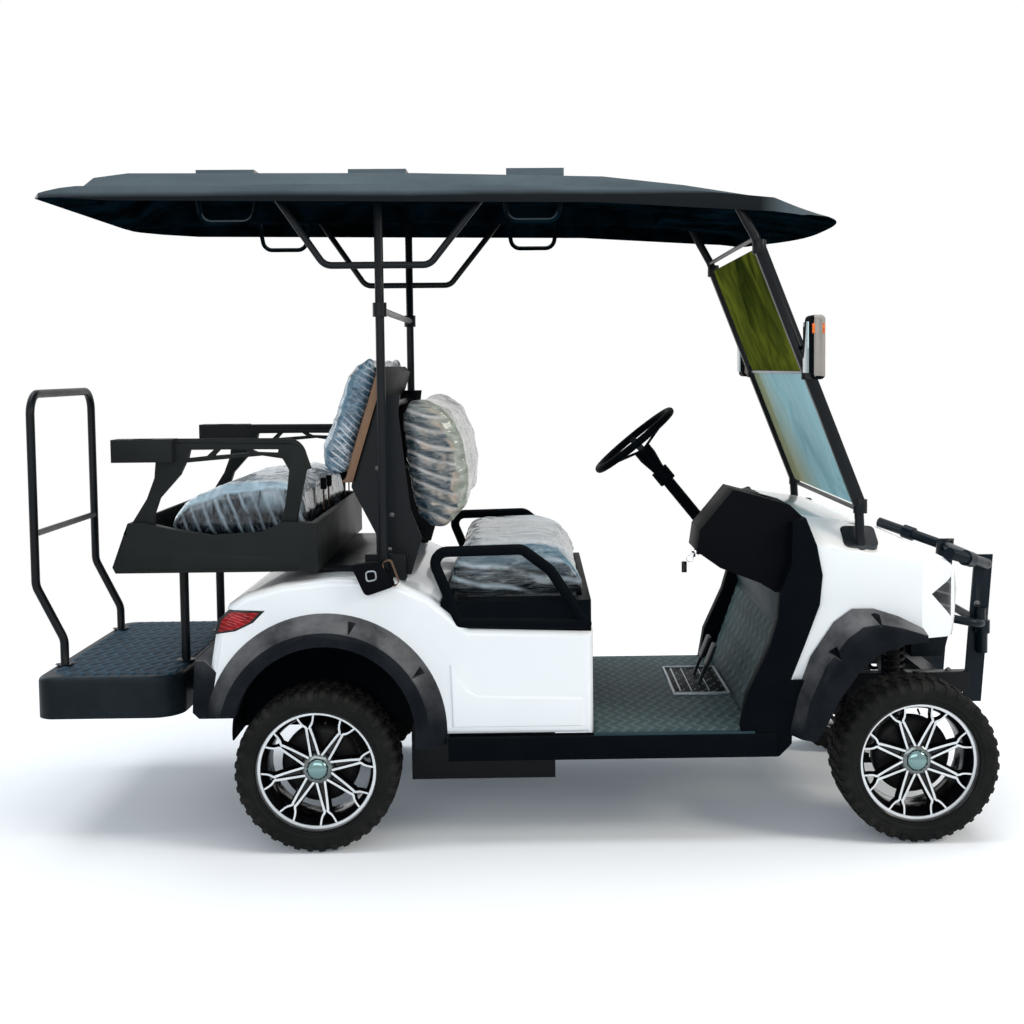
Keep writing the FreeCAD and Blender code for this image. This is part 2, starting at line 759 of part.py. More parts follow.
def make_tie_rod():
    """The rod that joins the two steering arms, with an eye round each arm's pin."""
    low = axle_z - knuckle_height / 2 + steering_arm_thickness + fit_gap
    height = 2 * tie_rod_radius - fit_gap
    x = front_axle_x - steering_arm_length
    bar = rod(vec(x, -kingpin_y, low + height / 2), vec(x, kingpin_y, low + height / 2), height / 2)
    pieces = [bar]
    for side in (-1, 1):
        pieces.append(Part.makeCylinder(tie_rod_eye_radius, height, vec(x, side * kingpin_y, low)))
    solid = fused(pieces)
    for side in (-1, 1):
        solid = solid.cut(Part.makeCylinder(tie_rod_pin_radius + fit_gap, height + overrun,
                                            vec(x, side * kingpin_y, low - overrun / 2)))
    return solid


def make_front_axle():
    """The front beam with a forked yoke and kingpin at each end."""
    beam = block(front_axle_x - axle_beam_depth / 2, front_axle_x + axle_beam_depth / 2,
                 -kingpin_y + knuckle_radius + 2 * running_gap, kingpin_y - knuckle_radius - 2 * running_gap,
                 axle_z - axle_beam_height / 2, axle_z + axle_beam_height / 2)
    pieces = [beam]
    inner = kingpin_y - knuckle_radius - 2 * running_gap
    ear_gap = knuckle_height / 2 + ear_clearance
    for side in (-1, 1):
        back = block(front_axle_x - yoke_back_depth / 2, front_axle_x + yoke_back_depth / 2,
                     min(side * inner, side * (inner - yoke_thickness)),
                     max(side * inner, side * (inner - yoke_thickness)),
                     axle_z - ear_gap - yoke_thickness, axle_z + ear_gap + yoke_thickness)
        pieces.append(back)
        for level in (axle_z - ear_gap - yoke_thickness, axle_z + ear_gap):
            ear = block(front_axle_x - yoke_radius, front_axle_x + yoke_radius,
                        min(side * (inner - yoke_thickness / 2), side * kingpin_y),
                        max(side * (inner - yoke_thickness / 2), side * kingpin_y),
                        level, level + yoke_thickness)
            pieces.append(ear)
            pieces.append(Part.makeCylinder(yoke_radius, yoke_thickness,
                                            vec(front_axle_x, side * kingpin_y, level)))
        pieces.append(Part.makeCylinder(kingpin_radius, 2 * ear_gap + yoke_thickness,
                                        vec(front_axle_x, side * kingpin_y, axle_z - ear_gap - yoke_thickness / 2)))
    return fused(pieces)


def make_rear_axle():
    """The rear axle tube with its differential, motor and two wheel spindles."""
    plate_y = drum_back_y - running_gap - backing_plate_thickness
    tube = rod(vec(rear_axle_x, -plate_y, axle_z), vec(rear_axle_x, plate_y, axle_z), axle_tube_radius)
    casing = rod(vec(rear_axle_x, -differential_width / 2, axle_z),
                 vec(rear_axle_x, differential_width / 2, axle_z), differential_radius)
    motor_y = differential_width / 2 - 2 * overrun
    motor = rod(vec(rear_axle_x + motor_radius, -motor_y, axle_z + motor_radius / 2),
                vec(rear_axle_x + motor_radius, motor_length - motor_y, axle_z + motor_radius / 2), motor_radius)
    spindle = rod(vec(rear_axle_x, -spindle_tip_y, axle_z), vec(rear_axle_x, spindle_tip_y, axle_z),
                  spindle_radius)
    pieces = [tube, casing, motor, spindle]
    for side in (-1, 1):
        pieces.append(rod(vec(rear_axle_x, side * plate_y, axle_z),
                          vec(rear_axle_x, side * (plate_y + backing_plate_thickness), axle_z),
                          backing_plate_radius))
    return fused(pieces)


# Chassis


def rail_outline():
    """Side outline of a rail: high over both axles, low between them."""
    rear_kick = rear_axle_x + rear_kick_offset
    front_kick = front_axle_x - front_kick_offset
    lower = [(rail_rear_x, rail_high_z), (rear_kick, rail_high_z), (rear_kick + rail_kick_run, rail_low_z),
             (front_kick, rail_low_z), (front_kick + rail_kick_run, rail_high_z), (rail_front_x, rail_high_z)]
    upper = [(rail_front_x, rail_high_z + rail_height),
             (front_kick + rail_kick_run, rail_high_z + rail_height),
             (front_kick, rail_low_z + rail_height),
             (rear_kick + rail_kick_run, rail_low_z + rail_height),
             (rear_kick, rail_high_z + rail_height), (rail_rear_x, rail_high_z + rail_height)]
    return lower + upper


def deck_arm_outline():
    """Side outline of an arm that runs back under the footrest deck."""
    rise_x = deck_front_x - deck_arm_height
    tip_x = deck_rear_x + deck_rear_corner
    return [(rail_rear_x, rail_high_z), (rail_rear_x, rail_high_z + rail_height), (rise_x, deck_skin_z),
            (tip_x, deck_skin_z), (tip_x, deck_skin_z - deck_arm_height),
            (rise_x, deck_skin_z - deck_arm_height)]


def make_chassis(neighbours):
    """Two kicked rails with cross members, outriggers, damper towers and deck arms."""
    pieces = [block(rail_rear_x, rail_rear_x + cross_member_width, -rail_inner_y, rail_inner_y,
                    rail_high_z, rail_high_z + cross_member_height),
              block(tray_front_x, tray_front_x + cross_member_width, -rail_inner_y, rail_inner_y,
                    rail_low_z, rail_low_z + cross_member_height),
              block(sill_front_x - cross_member_width, sill_front_x, -rail_inner_y, rail_inner_y,
                    rail_low_z, rail_low_z + cross_member_height),
              block(rail_front_x - 2 * cross_member_width, rail_front_x - cross_member_width,
                    -rail_inner_y, rail_inner_y, rail_high_z, rail_high_z + cross_member_height)]
    tower = [(rail_inner_y, rail_high_z + rail_height), (rail_inner_y, damper_top_z + tower_thickness),
             (damper_y + damper_cup_radius, damper_top_z + tower_thickness),
             (damper_y + damper_cup_radius, damper_top_z), (rail_outer_y, damper_top_z),
             (rail_outer_y, rail_high_z + rail_height)]
    outrigger_x = (sill_rear_x, (sill_rear_x + sill_front_x - cross_member_width) / 2,
                   sill_front_x - cross_member_width)
    for side in (-1, 1):
        rail = slab(rail_outline(), min(side * rail_inner_y, side * rail_outer_y),
                    max(side * rail_inner_y, side * rail_outer_y))
        arm_y = side * deck_arm_y
        arm = slab(deck_arm_outline(), arm_y - deck_arm_width / 2, arm_y + deck_arm_width / 2)
        tower_points = [(side * y, z) for y, z in tower]
        pieces += [rail, arm, cross_slab(tower_points, front_axle_x - tower_half_depth,
                                         front_axle_x + tower_half_depth)]
        for x in outrigger_x:
            pieces.append(block(x, x + cross_member_width,
                                min(side * rail_outer_y, side * (sill_outer_y - sill_wall)),
                                max(side * rail_outer_y, side * (sill_outer_y - sill_wall)),
                                sill_top_z - sill_height + sill_wall, sill_top_z - sill_wall))
    chassis = fused(pieces + [block(rail_rear_x - hitch_thickness, rail_rear_x, -hitch_half_width,
                                    hitch_half_width, rail_high_z - hitch_drop,
                                    rail_high_z + cross_member_height)])
    for side in (-1, 1):
        for level in (-1, 1):
            hole_y = side * hitch_spacing_y / 2
            hole_z = rail_high_z - hitch_hole_drop + level * hitch_spacing_z / 2
            chassis = chassis.cut(rod(vec(rail_rear_x - 2 * hitch_thickness, hole_y, hole_z),
                                      vec(rail_rear_x + hitch_thickness, hole_y, hole_z), hitch_hole_radius))
    return main_piece(cut_by(chassis, neighbours))


def make_battery_tray():
    """An open tray between the rails with the battery block in it."""
    tray = block(tray_rear_x, tray_front_x, -rail_inner_y, rail_inner_y, tray_low_z - tray_wall,
                 rail_low_z + rail_height / 2)
    inside = block(tray_rear_x + tray_wall, tray_front_x - tray_wall, -rail_inner_y + tray_wall,
                   rail_inner_y - tray_wall, tray_low_z, rail_low_z + rail_height)
    return tray.cut(inside)


def make_battery():
    """The battery pack as one plain block."""
    middle = (tray_rear_x + tray_front_x) / 2
    return block(middle - battery_length / 2, middle + battery_length / 2, -battery_half_width,
                 battery_half_width, tray_low_z, tray_low_z + battery_height)


def make_springs(chassis, rear_axle):
    """Rear leaf packs under the rails, and front dampers between the beam and their towers."""
    pieces = []
    axle_top = axle_z + axle_tube_radius
    front_x = rear_axle_x + leaf_front_reach
    back_x = rear_axle_x - leaf_rear_reach
    end_z = axle_top + leaf_sag + leaf_thickness + rail_height
    half_seat = leaf_width
    outline = [(front_x, end_z), (rear_axle_x + half_seat, axle_top + leaf_thickness),
               (rear_axle_x - half_seat, axle_top + leaf_thickness), (back_x, end_z),
               (back_x, end_z - leaf_thickness), (rear_axle_x - half_seat, axle_top),
               (rear_axle_x + half_seat, axle_top), (front_x, end_z - leaf_thickness)]
    middle_y = rail_outer_y - rail_width / 2
    for side in (-1, 1):
        leaf = slab(outline, side * middle_y - leaf_width / 2, side * middle_y + leaf_width / 2)
        pieces.append(main_piece(leaf.cut(chassis).cut(rear_axle)))
        base = axle_z + axle_beam_height / 2
        y = side * damper_y
        tube = Part.makeCylinder(damper_radius, damper_top_z - base, vec(front_axle_x, y, base))
        lower_cup = Part.makeCylinder(damper_cup_radius, damper_cup_thickness, vec(front_axle_x, y, base))
        upper_cup = Part.makeCylinder(damper_cup_radius, damper_cup_thickness,
                                      vec(front_axle_x, y, damper_top_z - damper_cup_thickness))
        pieces.append(fused([tube, lower_cup, upper_cup]))
    return group(pieces)


# Floor, sills and shields

def make_sills():
    """Two channel-shaped sills below the floor's edges."""
    inner = sill_outer_y - sill_width
    low = sill_top_z - sill_height
    section = [(inner, low), (sill_outer_y, low), (sill_outer_y, sill_top_z), (inner, sill_top_z),
               (inner, sill_top_z - sill_wall), (sill_outer_y - sill_wall, sill_top_z - sill_wall),
               (sill_outer_y - sill_wall, low + sill_wall), (inner, low + sill_wall)]
    channel = cross_slab(section, sill_rear_x, sill_front_x)
    return group([channel, mirrored(channel)])


def make_floor():
    """The floor pan with its sloping toe board."""
    flat = block(body_front_x, toe_start_x, -floor_half_width, floor_half_width, sill_top_z, floor_top_z)
    top_x = toe_start_x + toe_run
    top_z = floor_top_z + toe_rise
    dash_x = front_axle_x - dash_foot_offset
    outline = [(toe_start_x, sill_top_z), (toe_start_x, floor_top_z), (top_x, top_z), (dash_x, dash_base_z),
               (dash_x + floor_thickness, dash_base_z), (top_x + floor_thickness, top_z),
               (toe_start_x + floor_thickness, sill_top_z)]
    board = slab(outline, -toe_half_width, toe_half_width)
    return fused([flat, board])


def make_shields(neighbours):
    """Black leg shields between the floor, the dash and the cowl."""
    outline = spread(shield_side_shares, front_axle_x - shield_rear_offset,
                     front_axle_x - shield_front_offset, sill_top_z - sill_height, shield_top_z)
    shield = main_piece(cut_by(slab(outline, shield_inner_y, shield_outer_y), neighbours))
    return group([shield, mirrored(shield)])


def dash_points(shares):
    """One side outline of the dash."""
    return spread(shares, front_axle_x - dash_rear_offset, front_axle_x - dash_front_offset,
                  dash_base_z, dash_top_z)


def dash_outer():
    """The dash before it is hollowed: a tall pod for the passenger beside a lower driver's part."""
    pod = slab(dash_points(dash_side_shares), -dash_half_width, pod_inner_y)
    low = slab(dash_points(dash_low_shares), -dash_half_width, dash_half_width)
    return fused([pod, low])


def dash_cups():
    """Centre and floor of the two cup wells."""
    pod_floor_z = dash_top_z - 2 * cup_depth
    low_floor_z = dash_base_z + dash_low_shares[0][1] * (dash_top_z - dash_base_z) - cup_depth
    return (vec(front_axle_x - cup_offset, -pod_cup_y, pod_floor_z),
            vec(front_axle_x - low_cup_offset, pod_cup_y, low_floor_z))


def make_dash(cowl_solid, outer):
    """The hollow dash moulding with a cup well in each part of its shelf."""
    pod_core = inset(dash_points(dash_side_shares), -dash_half_width + dash_wall, dash_wall)
    low_core = inset(dash_points(dash_low_shares), -dash_half_width + dash_wall, dash_wall)
    core = fused([pod_core.extrude(vec(0, dash_pod_width - 2 * dash_wall, 0)),
                  low_core.extrude(vec(0, 2 * (dash_half_width - dash_wall), 0))])
    dash = outer.cut(core)
    for floor in dash_cups():
        below = vec(0, 0, -dash_wall)
        cup = Part.makeCylinder(cup_radius + dash_wall, 3 * cup_depth, floor + below)
        dash = dash.fuse(cup.common(outer))
        dash = dash.cut(Part.makeCylinder(cup_radius, 3 * cup_depth, floor))
    return main_piece(dash.cut(cowl_solid))


# Bodywork

def rear_body_points():
    """Side outline of the rear body."""
    return spread(rear_body_side_shares, body_rear_x, body_front_x, sill_top_z, body_top_z)


def rear_body_solid():
    """The rear body before it is hollowed."""
    return outline_slab(rear_body_points(), body_half_width, body_edge_radius)


def arch_cylinder(radius, y_from, y_to):
    """A round space about a rear wheel arch."""
    centre = vec(rear_axle_x + arch_centre_offset, y_from, arch_centre_z)
    return Part.makeCylinder(radius, y_to - y_from, centre, vec(0, 1, 0))


def tail_lamp(side):
    """One tail lamp set in the rear shoulder of the body."""
    start = body_rear_x + tail_lamp_rear_offset
    outline = spread(tail_lamp_shares, start, start + tail_lamp_length, tail_lamp_low_z,
                     tail_lamp_low_z + tail_lamp_height)
    lamp = slab(outline, body_half_width - lamp_depth, body_half_width + fit_gap)
    return lamp if side > 0 else mirrored(lamp)


def body_step():
    """The raised lower panel on one side of the rear body."""
    base = spread(body_step_shares, body_rear_x, body_front_x, sill_top_z, body_top_z)
    face = spread(body_step_face_shares, body_rear_x, body_front_x, sill_top_z, body_top_z)
    return lofted(base, body_half_width - body_wall / 2, face, body_half_width + crease_depth)


def make_rear_body(solid):
    """The white rear body: hollow, open below, with wheel arches and a battery opening."""
    core_face = inset(rear_body_points(), -body_half_width + body_wall, body_wall)
    core = core_face.extrude(vec(0, 2 * (body_half_width - body_wall), 0))
    rims = [edge for edge in core.Edges
            if abs(edge.BoundBox.YMin - edge.BoundBox.YMax) < fit_gap]
    core = core.makeFillet(body_edge_radius - body_wall, rims)
    shell = solid.cut(core)
    shell = shell.cut(block(body_rear_x + body_wall, body_front_x - body_wall,
                            -body_half_width + body_wall, body_half_width - body_wall,
                            sill_top_z - overrun, sill_top_z + 2 * body_wall))
    shell = shell.cut(arch_cylinder(arch_radius, -body_half_width - overrun, body_half_width + overrun))
    hatch_rear = rear_axle_x + front_cushion_rear_offset + 2 * overrun + seat_frame_wall
    hatch_front = rear_axle_x + front_cushion_front_offset - overrun - seat_frame_wall
    shell = shell.cut(block(hatch_rear, hatch_front, -battery_half_width - overrun, battery_half_width + overrun,
                            front_cushion_bottom_z - 2 * rail_height, front_cushion_bottom_z))
    for side in (-1, 1):
        shell = shell.cut(tail_lamp(side))
    step = body_step()
    return main_piece(fused([main_piece(shell), step, mirrored(step)]))


def make_liners():
    """Rear wheel housings inside the body."""
    inner_y = tyre_inner_y - running_gap * 6
    ring = arch_cylinder(arch_radius, inner_y, body_half_width)
    ring = ring.cut(arch_cylinder(arch_radius - body_wall, inner_y + body_wall, body_half_width + overrun))
    keep = block(rear_axle_x - wheelbase / 2, rear_axle_x + wheelbase / 2, inner_y - overrun,
                 body_half_width + overrun, sill_top_z, body_top_z)
    housing = ring.common(keep)
    return group([housing, mirrored(housing)])


def cowl_plan(margin):
    """Plan outline of the cowl, narrower at the nose, drawn in by a margin."""
    half = body_half_width - margin
    corner_half = nose_half_width - margin
    nose_x = front_axle_x + cowl_nose_offset - margin
    back_x = front_axle_x - cowl_rear_offset - overrun
    side = [(back_x, half), (nose_x - nose_corner_run, half),
            (nose_x - nose_corner_run / 3, (half + corner_half) / 2), (nose_x, corner_half)]
    return [(x, -y) for x, y in side] + side[::-1]


def beyond(points, inner, reach):
    """Points of an outline carried on past it, away from an inner one."""
    return [(outer[0], outer[1] + (outer[1] - other[1]) * reach) for outer, other in zip(points, inner)]


def cowl_outline(shares):
    """One side outline of the cowl."""
    return spread(shares, front_axle_x - cowl_rear_offset, front_axle_x + cowl_nose_offset, cowl_low_z, cowl_top_z)


def shoulder_wedge(drop):
    """What is cut from above one of the cowl's sloping shoulders, lowered by a distance."""
    crease = cowl_outline(cowl_crease_shares)
    top = cowl_outline(cowl_top_shares)
    outer = beyond(crease, top, overrun / shoulder_run)
    high = cowl_top_z + 2 * overrun
    lid = [(top[-1][0], high), (top[0][0], high)]
    wedge = lofted(outer + lid, -body_half_width - overrun, top + lid, -shoulder_y)
    return wedge.translated(vec(0, 0, -drop))


def step_wedge(depth):
    """What is cut from one side of the cowl below its lower crease."""
    crease = cowl_outline(cowl_step_shares)
    inner = [(x, z - crease_rise) for x, z in crease]
    outer = beyond(crease, inner, overrun / crease_depth)
    return lofted(outer, -body_half_width - overrun - depth, inner, -body_half_width + crease_depth + depth)


def cowl_solid():
    """The front cowl before it is hollowed."""
    plan = plan_slab(cowl_plan(0), cowl_low_z - overrun, cowl_top_z + overrun)
    solid = slab(cowl_outline(cowl_side_shares), -body_half_width, body_half_width).common(plan)
    for wedge in (shoulder_wedge(0), step_wedge(0)):
        solid = cut_by(solid, [wedge, mirrored(wedge)])
    return main_piece(solid)


def headlamp(side, solid):
    """One headlamp set flush in a front corner of the cowl."""
    rear_x = front_axle_x + headlamp_rear_offset
    outline = [(rear_x, headlamp_z), (rear_x + headlamp_length, headlamp_z + headlamp_rise),
               (rear_x + headlamp_length, headlamp_z - headlamp_drop)]
    lamp = slab(outline, nose_half_width, body_half_width)
    if side < 0:
        lamp = mirrored(lamp)
    return lamp.common(solid)


def make_cowl(solid):
    """The white front cowl, hollow, with its lamp openings."""
    plan = plan_slab(cowl_plan(body_wall), cowl_low_z - overrun, cowl_top_z + overrun)
    core = inset(cowl_outline(cowl_side_shares), -body_half_width, body_wall)
    core = core.extrude(vec(0, 2 * body_half_width, 0)).common(plan)
    for wedge in (shoulder_wedge(shoulder_wall), step_wedge(body_wall)):
        core = cut_by(core, [wedge, mirrored(wedge)])
    shell = solid.cut(core)
    for side in (-1, 1):
        shell = shell.cut(headlamp(side, solid))
    return main_piece(shell)


# Flares and bumpers

def flare_pocket(x, z, centre_x, centre_z):
    """A tapering fixing pocket in a flare's sloping face, pointing at its wheel."""
    outward = vec(x - centre_x, 0, z - centre_z).normalize()
    along = vec(outward.z, 0, -outward.x)
    tip = vec(x, 0, z)
    root = tip + outward * flare_pocket_depth
    corners = [tip, root + along * flare_pocket_half_width, root - along * flare_pocket_half_width]
    return slab([(corner.x, corner.z) for corner in corners], body_half_width + 2 * flare_edge,
                flare_outer_y + overrun)


def make_flares():
    """Four wheel flares with sloping faces, which stand out from the body."""
    middle = rear_axle_x + arch_centre_offset
    section = [(flare_outer_radius, body_half_width), (flare_outer_radius - flare_edge, body_half_width + flare_edge),
               (flare_lip_radius + flare_edge, flare_outer_y - flare_edge), (flare_lip_radius, flare_outer_y),
               (flare_inner_radius, flare_outer_y), (flare_inner_radius, body_half_width)]
    corners = [vec(middle + radius, y, arch_centre_z) for radius, y in section]
    band = Part.Face(Part.makePolygon(corners + corners[:1])).revolve(vec(middle, 0, arch_centre_z), vec(0, 1, 0), 360)
    reach = 2 * flare_outer_radius
    band = band.common(block(middle - reach, middle + reach, body_half_width - overrun, flare_outer_y + overrun,
                             flare_foot_z, flare_foot_z + reach))
    band = band.cut(block(middle - reach, middle, body_half_width - overrun, flare_outer_y + overrun,
                          flare_foot_z - overrun, flare_tail_z))
    for turn in flare_pocket_turns:
        x = middle + flare_lip_radius * math.cos(math.radians(turn))
        z = arch_centre_z + flare_lip_radius * math.sin(math.radians(turn))
        band = band.cut(flare_pocket(x, z, middle, arch_centre_z))
    outer, lip, inner, pockets = [
        spread(shares, front_axle_x - front_flare_rear_offset, front_axle_x + front_flare_front_offset,
               front_flare_low_z, front_flare_top_z)
        for shares in (front_flare_outer_shares, front_flare_lip_shares, front_flare_inner_shares,
                       front_pocket_shares)]
    front = lofted(outer + inner, body_half_width, lip + inner, flare_outer_y)
    for x, z in pockets:
        front = front.cut(flare_pocket(x, z, front_axle_x, axle_z))
    band, front = main_piece(band), main_piece(front)
    return group([band, mirrored(band), front, mirrored(front)])


def make_rear_bumper(neighbours):
    """A hollow bumper across the tail below the body."""
    rear_x = rear_axle_x - bumper_rear_offset
    fore_x = body_rear_x + bumper_wrap
    outline = [(rear_x, bumper_low_z + overrun), (rear_x + overrun, bumper_low_z), (fore_x, bumper_low_z),
               (fore_x, body_tail_z + 2 * body_wall), (rear_x + 2 * overrun, bumper_top_z),
               (rear_x + overrun / 2, bumper_top_z)]
    shell = shell_slab(outline, body_half_width - fit_gap, bumper_wall)
    return main_piece(cut_by(shell, neighbours))


def make_front_bumper(solid):
    """A hollow skid below the nose."""
    rear_x = front_axle_x + tower_half_depth + overrun
    outline = [(rear_x, front_bumper_low_z), (rear_x + front_bumper_depth, front_bumper_low_z),
               (rear_x + front_bumper_depth + overrun, front_bumper_top_z - overrun),
               (rear_x + front_bumper_depth, front_bumper_top_z + overrun), (rear_x, front_bumper_top_z + overrun)]
    shell = shell_slab(outline, front_bumper_half_width, bumper_wall)
    return main_piece(shell.cut(solid))


def make_guard(solid):
    """The front guard: two upright plates, a winged top tube and a lower hoop."""
    front_x = front_axle_x + front_overhang
    low_x = front_x - guard_plate_width - guard_lean
    outline = [(low_x, guard_low_z), (low_x + guard_plate_width, guard_low_z), (front_x, guard_top_z),
               (front_x - guard_plate_width, guard_top_z)]
    pieces = []
    for side in (-1, 1):
        y = side * guard_plate_y
        pieces.append(slab(outline, y - guard_plate_thickness / 2, y + guard_plate_thickness / 2))
    bar_x = front_x - guard_plate_width / 2
    bar_z = guard_top_z - 3 * guard_tube_radius / 2
    knee_y = guard_plate_y + 2 * guard_tube_radius
    wing = [vec(bar_x - guard_wing_run, -guard_wing_y, bar_z + guard_wing_rise), vec(bar_x, -knee_y, bar_z),
            vec(bar_x, knee_y, bar_z), vec(bar_x - guard_wing_run, guard_wing_y, bar_z + guard_wing_rise)]
    pieces.append(bent_tube(wing, guard_tube_radius, 2 * guard_tube_radius))
    for tip, knee in ((wing[0], wing[1]), (wing[3], wing[2])):
        run = (knee - tip).normalize()
        start = tip + (knee - tip) * guard_collar_share
        pieces.append(Part.makeCylinder(guard_collar_radius, guard_collar_length, start, run))
    hoop_x = low_x + guard_plate_width / 2 + guard_lean / 2
    start_x = front_axle_x + cowl_nose_offset - 2 * overrun
    hoop = [vec(start_x, -front_bumper_half_width, guard_hoop_z + 2 * overrun),
            vec(hoop_x, -front_bumper_half_width, guard_hoop_z),
            vec(hoop_x, front_bumper_half_width, guard_hoop_z),
            vec(start_x, front_bumper_half_width, guard_hoop_z + 2 * overrun)]
    pieces.append(bent_tube(hoop, guard_tube_radius * 3 / 4, 3 * guard_tube_radius))
    for side in (-1, 1):
        y = side * (guard_plate_y + guard_tube_radius)
        stub = Part.makeCylinder(guard_tube_radius, guard_stub_top_z - guard_stub_low_z,
                                 vec(hoop_x + guard_tube_radius / 2, y, guard_stub_low_z))
        collar = Part.makeCylinder(guard_collar_radius, guard_collar_length,
                                   vec(hoop_x + guard_tube_radius / 2, y, guard_stub_top_z - 2 * guard_collar_length))
        pieces += [stub, collar]
    return main_piece(fused(pieces).cut(solid))


# Seats


def make_front_cushion():
    """The front bench cushion, which tips forward on its front lower edge."""
    outline = spread(front_cushion_shares, cushion_rear_x, cushion_front_x, front_cushion_bottom_z,
                     front_cushion_top_z)
    return slab(outline, -seat_half_width, seat_half_width)


def make_seat_surround(body):
    """The black frame below the front cushion with a round hip rail on each side."""
    top_z = front_cushion_bottom_z - fit_gap
    frame = block(cushion_rear_x, cushion_front_x, -hip_rail_y, hip_rail_y, hip_rail_low_z, top_z)
    frame = frame.cut(block(cushion_rear_x + seat_frame_wall, cushion_front_x - seat_frame_wall,
                            -seat_half_width + seat_frame_wall, seat_half_width - seat_frame_wall,
                            hip_rail_low_z - overrun, top_z + overrun))
    outline = spread(hip_rail_shares, cushion_rear_x - 2 * seat_frame_wall, cushion_front_x,
                     hip_rail_low_z, hip_rail_low_z + hip_rail_height)
    pieces = [frame]
    for side in (-1, 1):
        path = [vec(x, side * hip_rail_y, z) for x, z in outline]
        pieces.append(bent_tube(path, hip_rail_radius, hip_rail_bend))
        pieces.append(rod(path[0], path[-1], hip_rail_radius))
        pieces += [Part.makeSphere(hip_rail_radius, end) for end in (path[0], path[-1])]
    return main_piece(fused(pieces).cut(body))


def front_back_points():
    """Side outline of the front backrest."""
    start = rear_axle_x + front_back_rear_offset
    return spread(front_back_shares, start, start + front_back_depth, front_back_low_z,
                  front_back_low_z + front_back_height)


def make_front_back():
    """The front backrest pad."""
    return slab(front_back_points(), -back_half_width, back_half_width)


def make_rear_back():
    """The rear backrest pad."""
    start = rear_axle_x + rear_back_rear_offset
    outline = spread(rear_back_shares, start, start + rear_back_depth, rear_back_low_z,
                     rear_back_low_z + rear_back_height)
    return slab(outline, -back_half_width, back_half_width)


def make_board(rear_back):
    """The board behind the rear backrest."""
    start = rear_axle_x + board_rear_offset
    outline = spread(rear_board_shares, start, start + board_depth, rear_back_low_z,
                     rear_back_low_z + board_height)
    return main_piece(slab(outline, -board_half_width, board_half_width).cut(rear_back))


def make_back_frame(neighbours):
    """Bracket plates and cross bars that carry both backrests, with the belt retractors."""
    start = rear_axle_x + bracket_rear_offset
    outline = spread(bracket_side_shares, start, start + bracket_depth, body_top_z, body_top_z + bracket_height)
    pieces = []
    for side in (-1, 1):
        y_from = side * back_plate_y - back_plate_thickness / 2
        pieces.append(slab(outline, y_from, y_from + back_plate_thickness))
        inner = min(side * back_plate_y, side * (post_y - post_foot_radius - running_gap))
        outer = max(side * back_plate_y, side * (post_y - post_foot_radius - running_gap))
        middle = start + bracket_depth / 2
        pieces.append(block(middle - retractor_length / 2, middle + retractor_length / 2, inner, outer,
                            body_top_z - overrun, body_top_z + retractor_height))
    for along, up in bracket_bar_shares:
        x = start + along * bracket_depth
        z = body_top_z + up * bracket_height
        pieces.append(rod(vec(x, -back_plate_y, z), vec(x, back_plate_y, z), bracket_bar_radius))
    shelf = block(rear_axle_x - seat_box_front_offset, start + bracket_depth / 2, -back_plate_y, back_plate_y,
                  body_top_z, seat_box_low_z)
    pieces.append(shelf)
    return main_piece(cut_by(fused(pieces), neighbours))


def make_rear_cushion():
    """The rear bench cushion, the lid of the seat box, hinged at its rear lower edge."""
    start = rear_axle_x - rear_cushion_rear_offset
    outline = spread(rear_cushion_shares, start, start + rear_cushion_length, rear_cushion_bottom_z,
                     rear_cushion_top_z)
    return slab(outline, -rear_cushion_half_width, rear_cushion_half_width)


def make_seat_box(neighbours):
    """The open storage box under the rear cushion, with its swooped rim."""
    outer = slab(spread(seat_box_side_shares, box_rear_x, box_front_x, seat_box_low_z, seat_box_top_z),
                 -seat_box_half_width, seat_box_half_width)
    plain = spread(seat_tray_shares, box_rear_x, box_front_x, seat_box_low_z, seat_box_top_z)
    inner_half = seat_box_half_width - seat_box_wall
    core = inset(plain, -inner_half, box_end_wall).extrude(vec(0, 2 * inner_half, 0))
    core = core.fuse(core.translated(vec(0, 0, box_end_wall + overrun)))
    core = core.fuse(core.translated(vec(0, 0, seat_box_floor - box_end_wall)))
    base = spread(box_band_shares, box_rear_x, box_front_x, seat_box_low_z, seat_box_top_z)
    face = spread(box_band_face_shares, box_rear_x, box_front_x, seat_box_low_z, seat_box_top_z)
    band = lofted(base, seat_box_half_width - box_band_depth, face, seat_box_half_width + box_band_depth)
    pieces = [outer.cut(core), band, mirrored(band)]
    ledge_rear = rear_axle_x - rear_cushion_rear_offset
    for side in (-1, 1):
        inner = side * (inner_half - ledge_width)
        pieces.append(block(ledge_rear, ledge_rear + rear_cushion_length, min(inner, side * inner_half),
                            max(inner, side * inner_half), rear_cushion_bottom_z - fit_gap - ledge_height,
                            rear_cushion_bottom_z - fit_gap))
    return main_piece(cut_by(fused(pieces), neighbours))


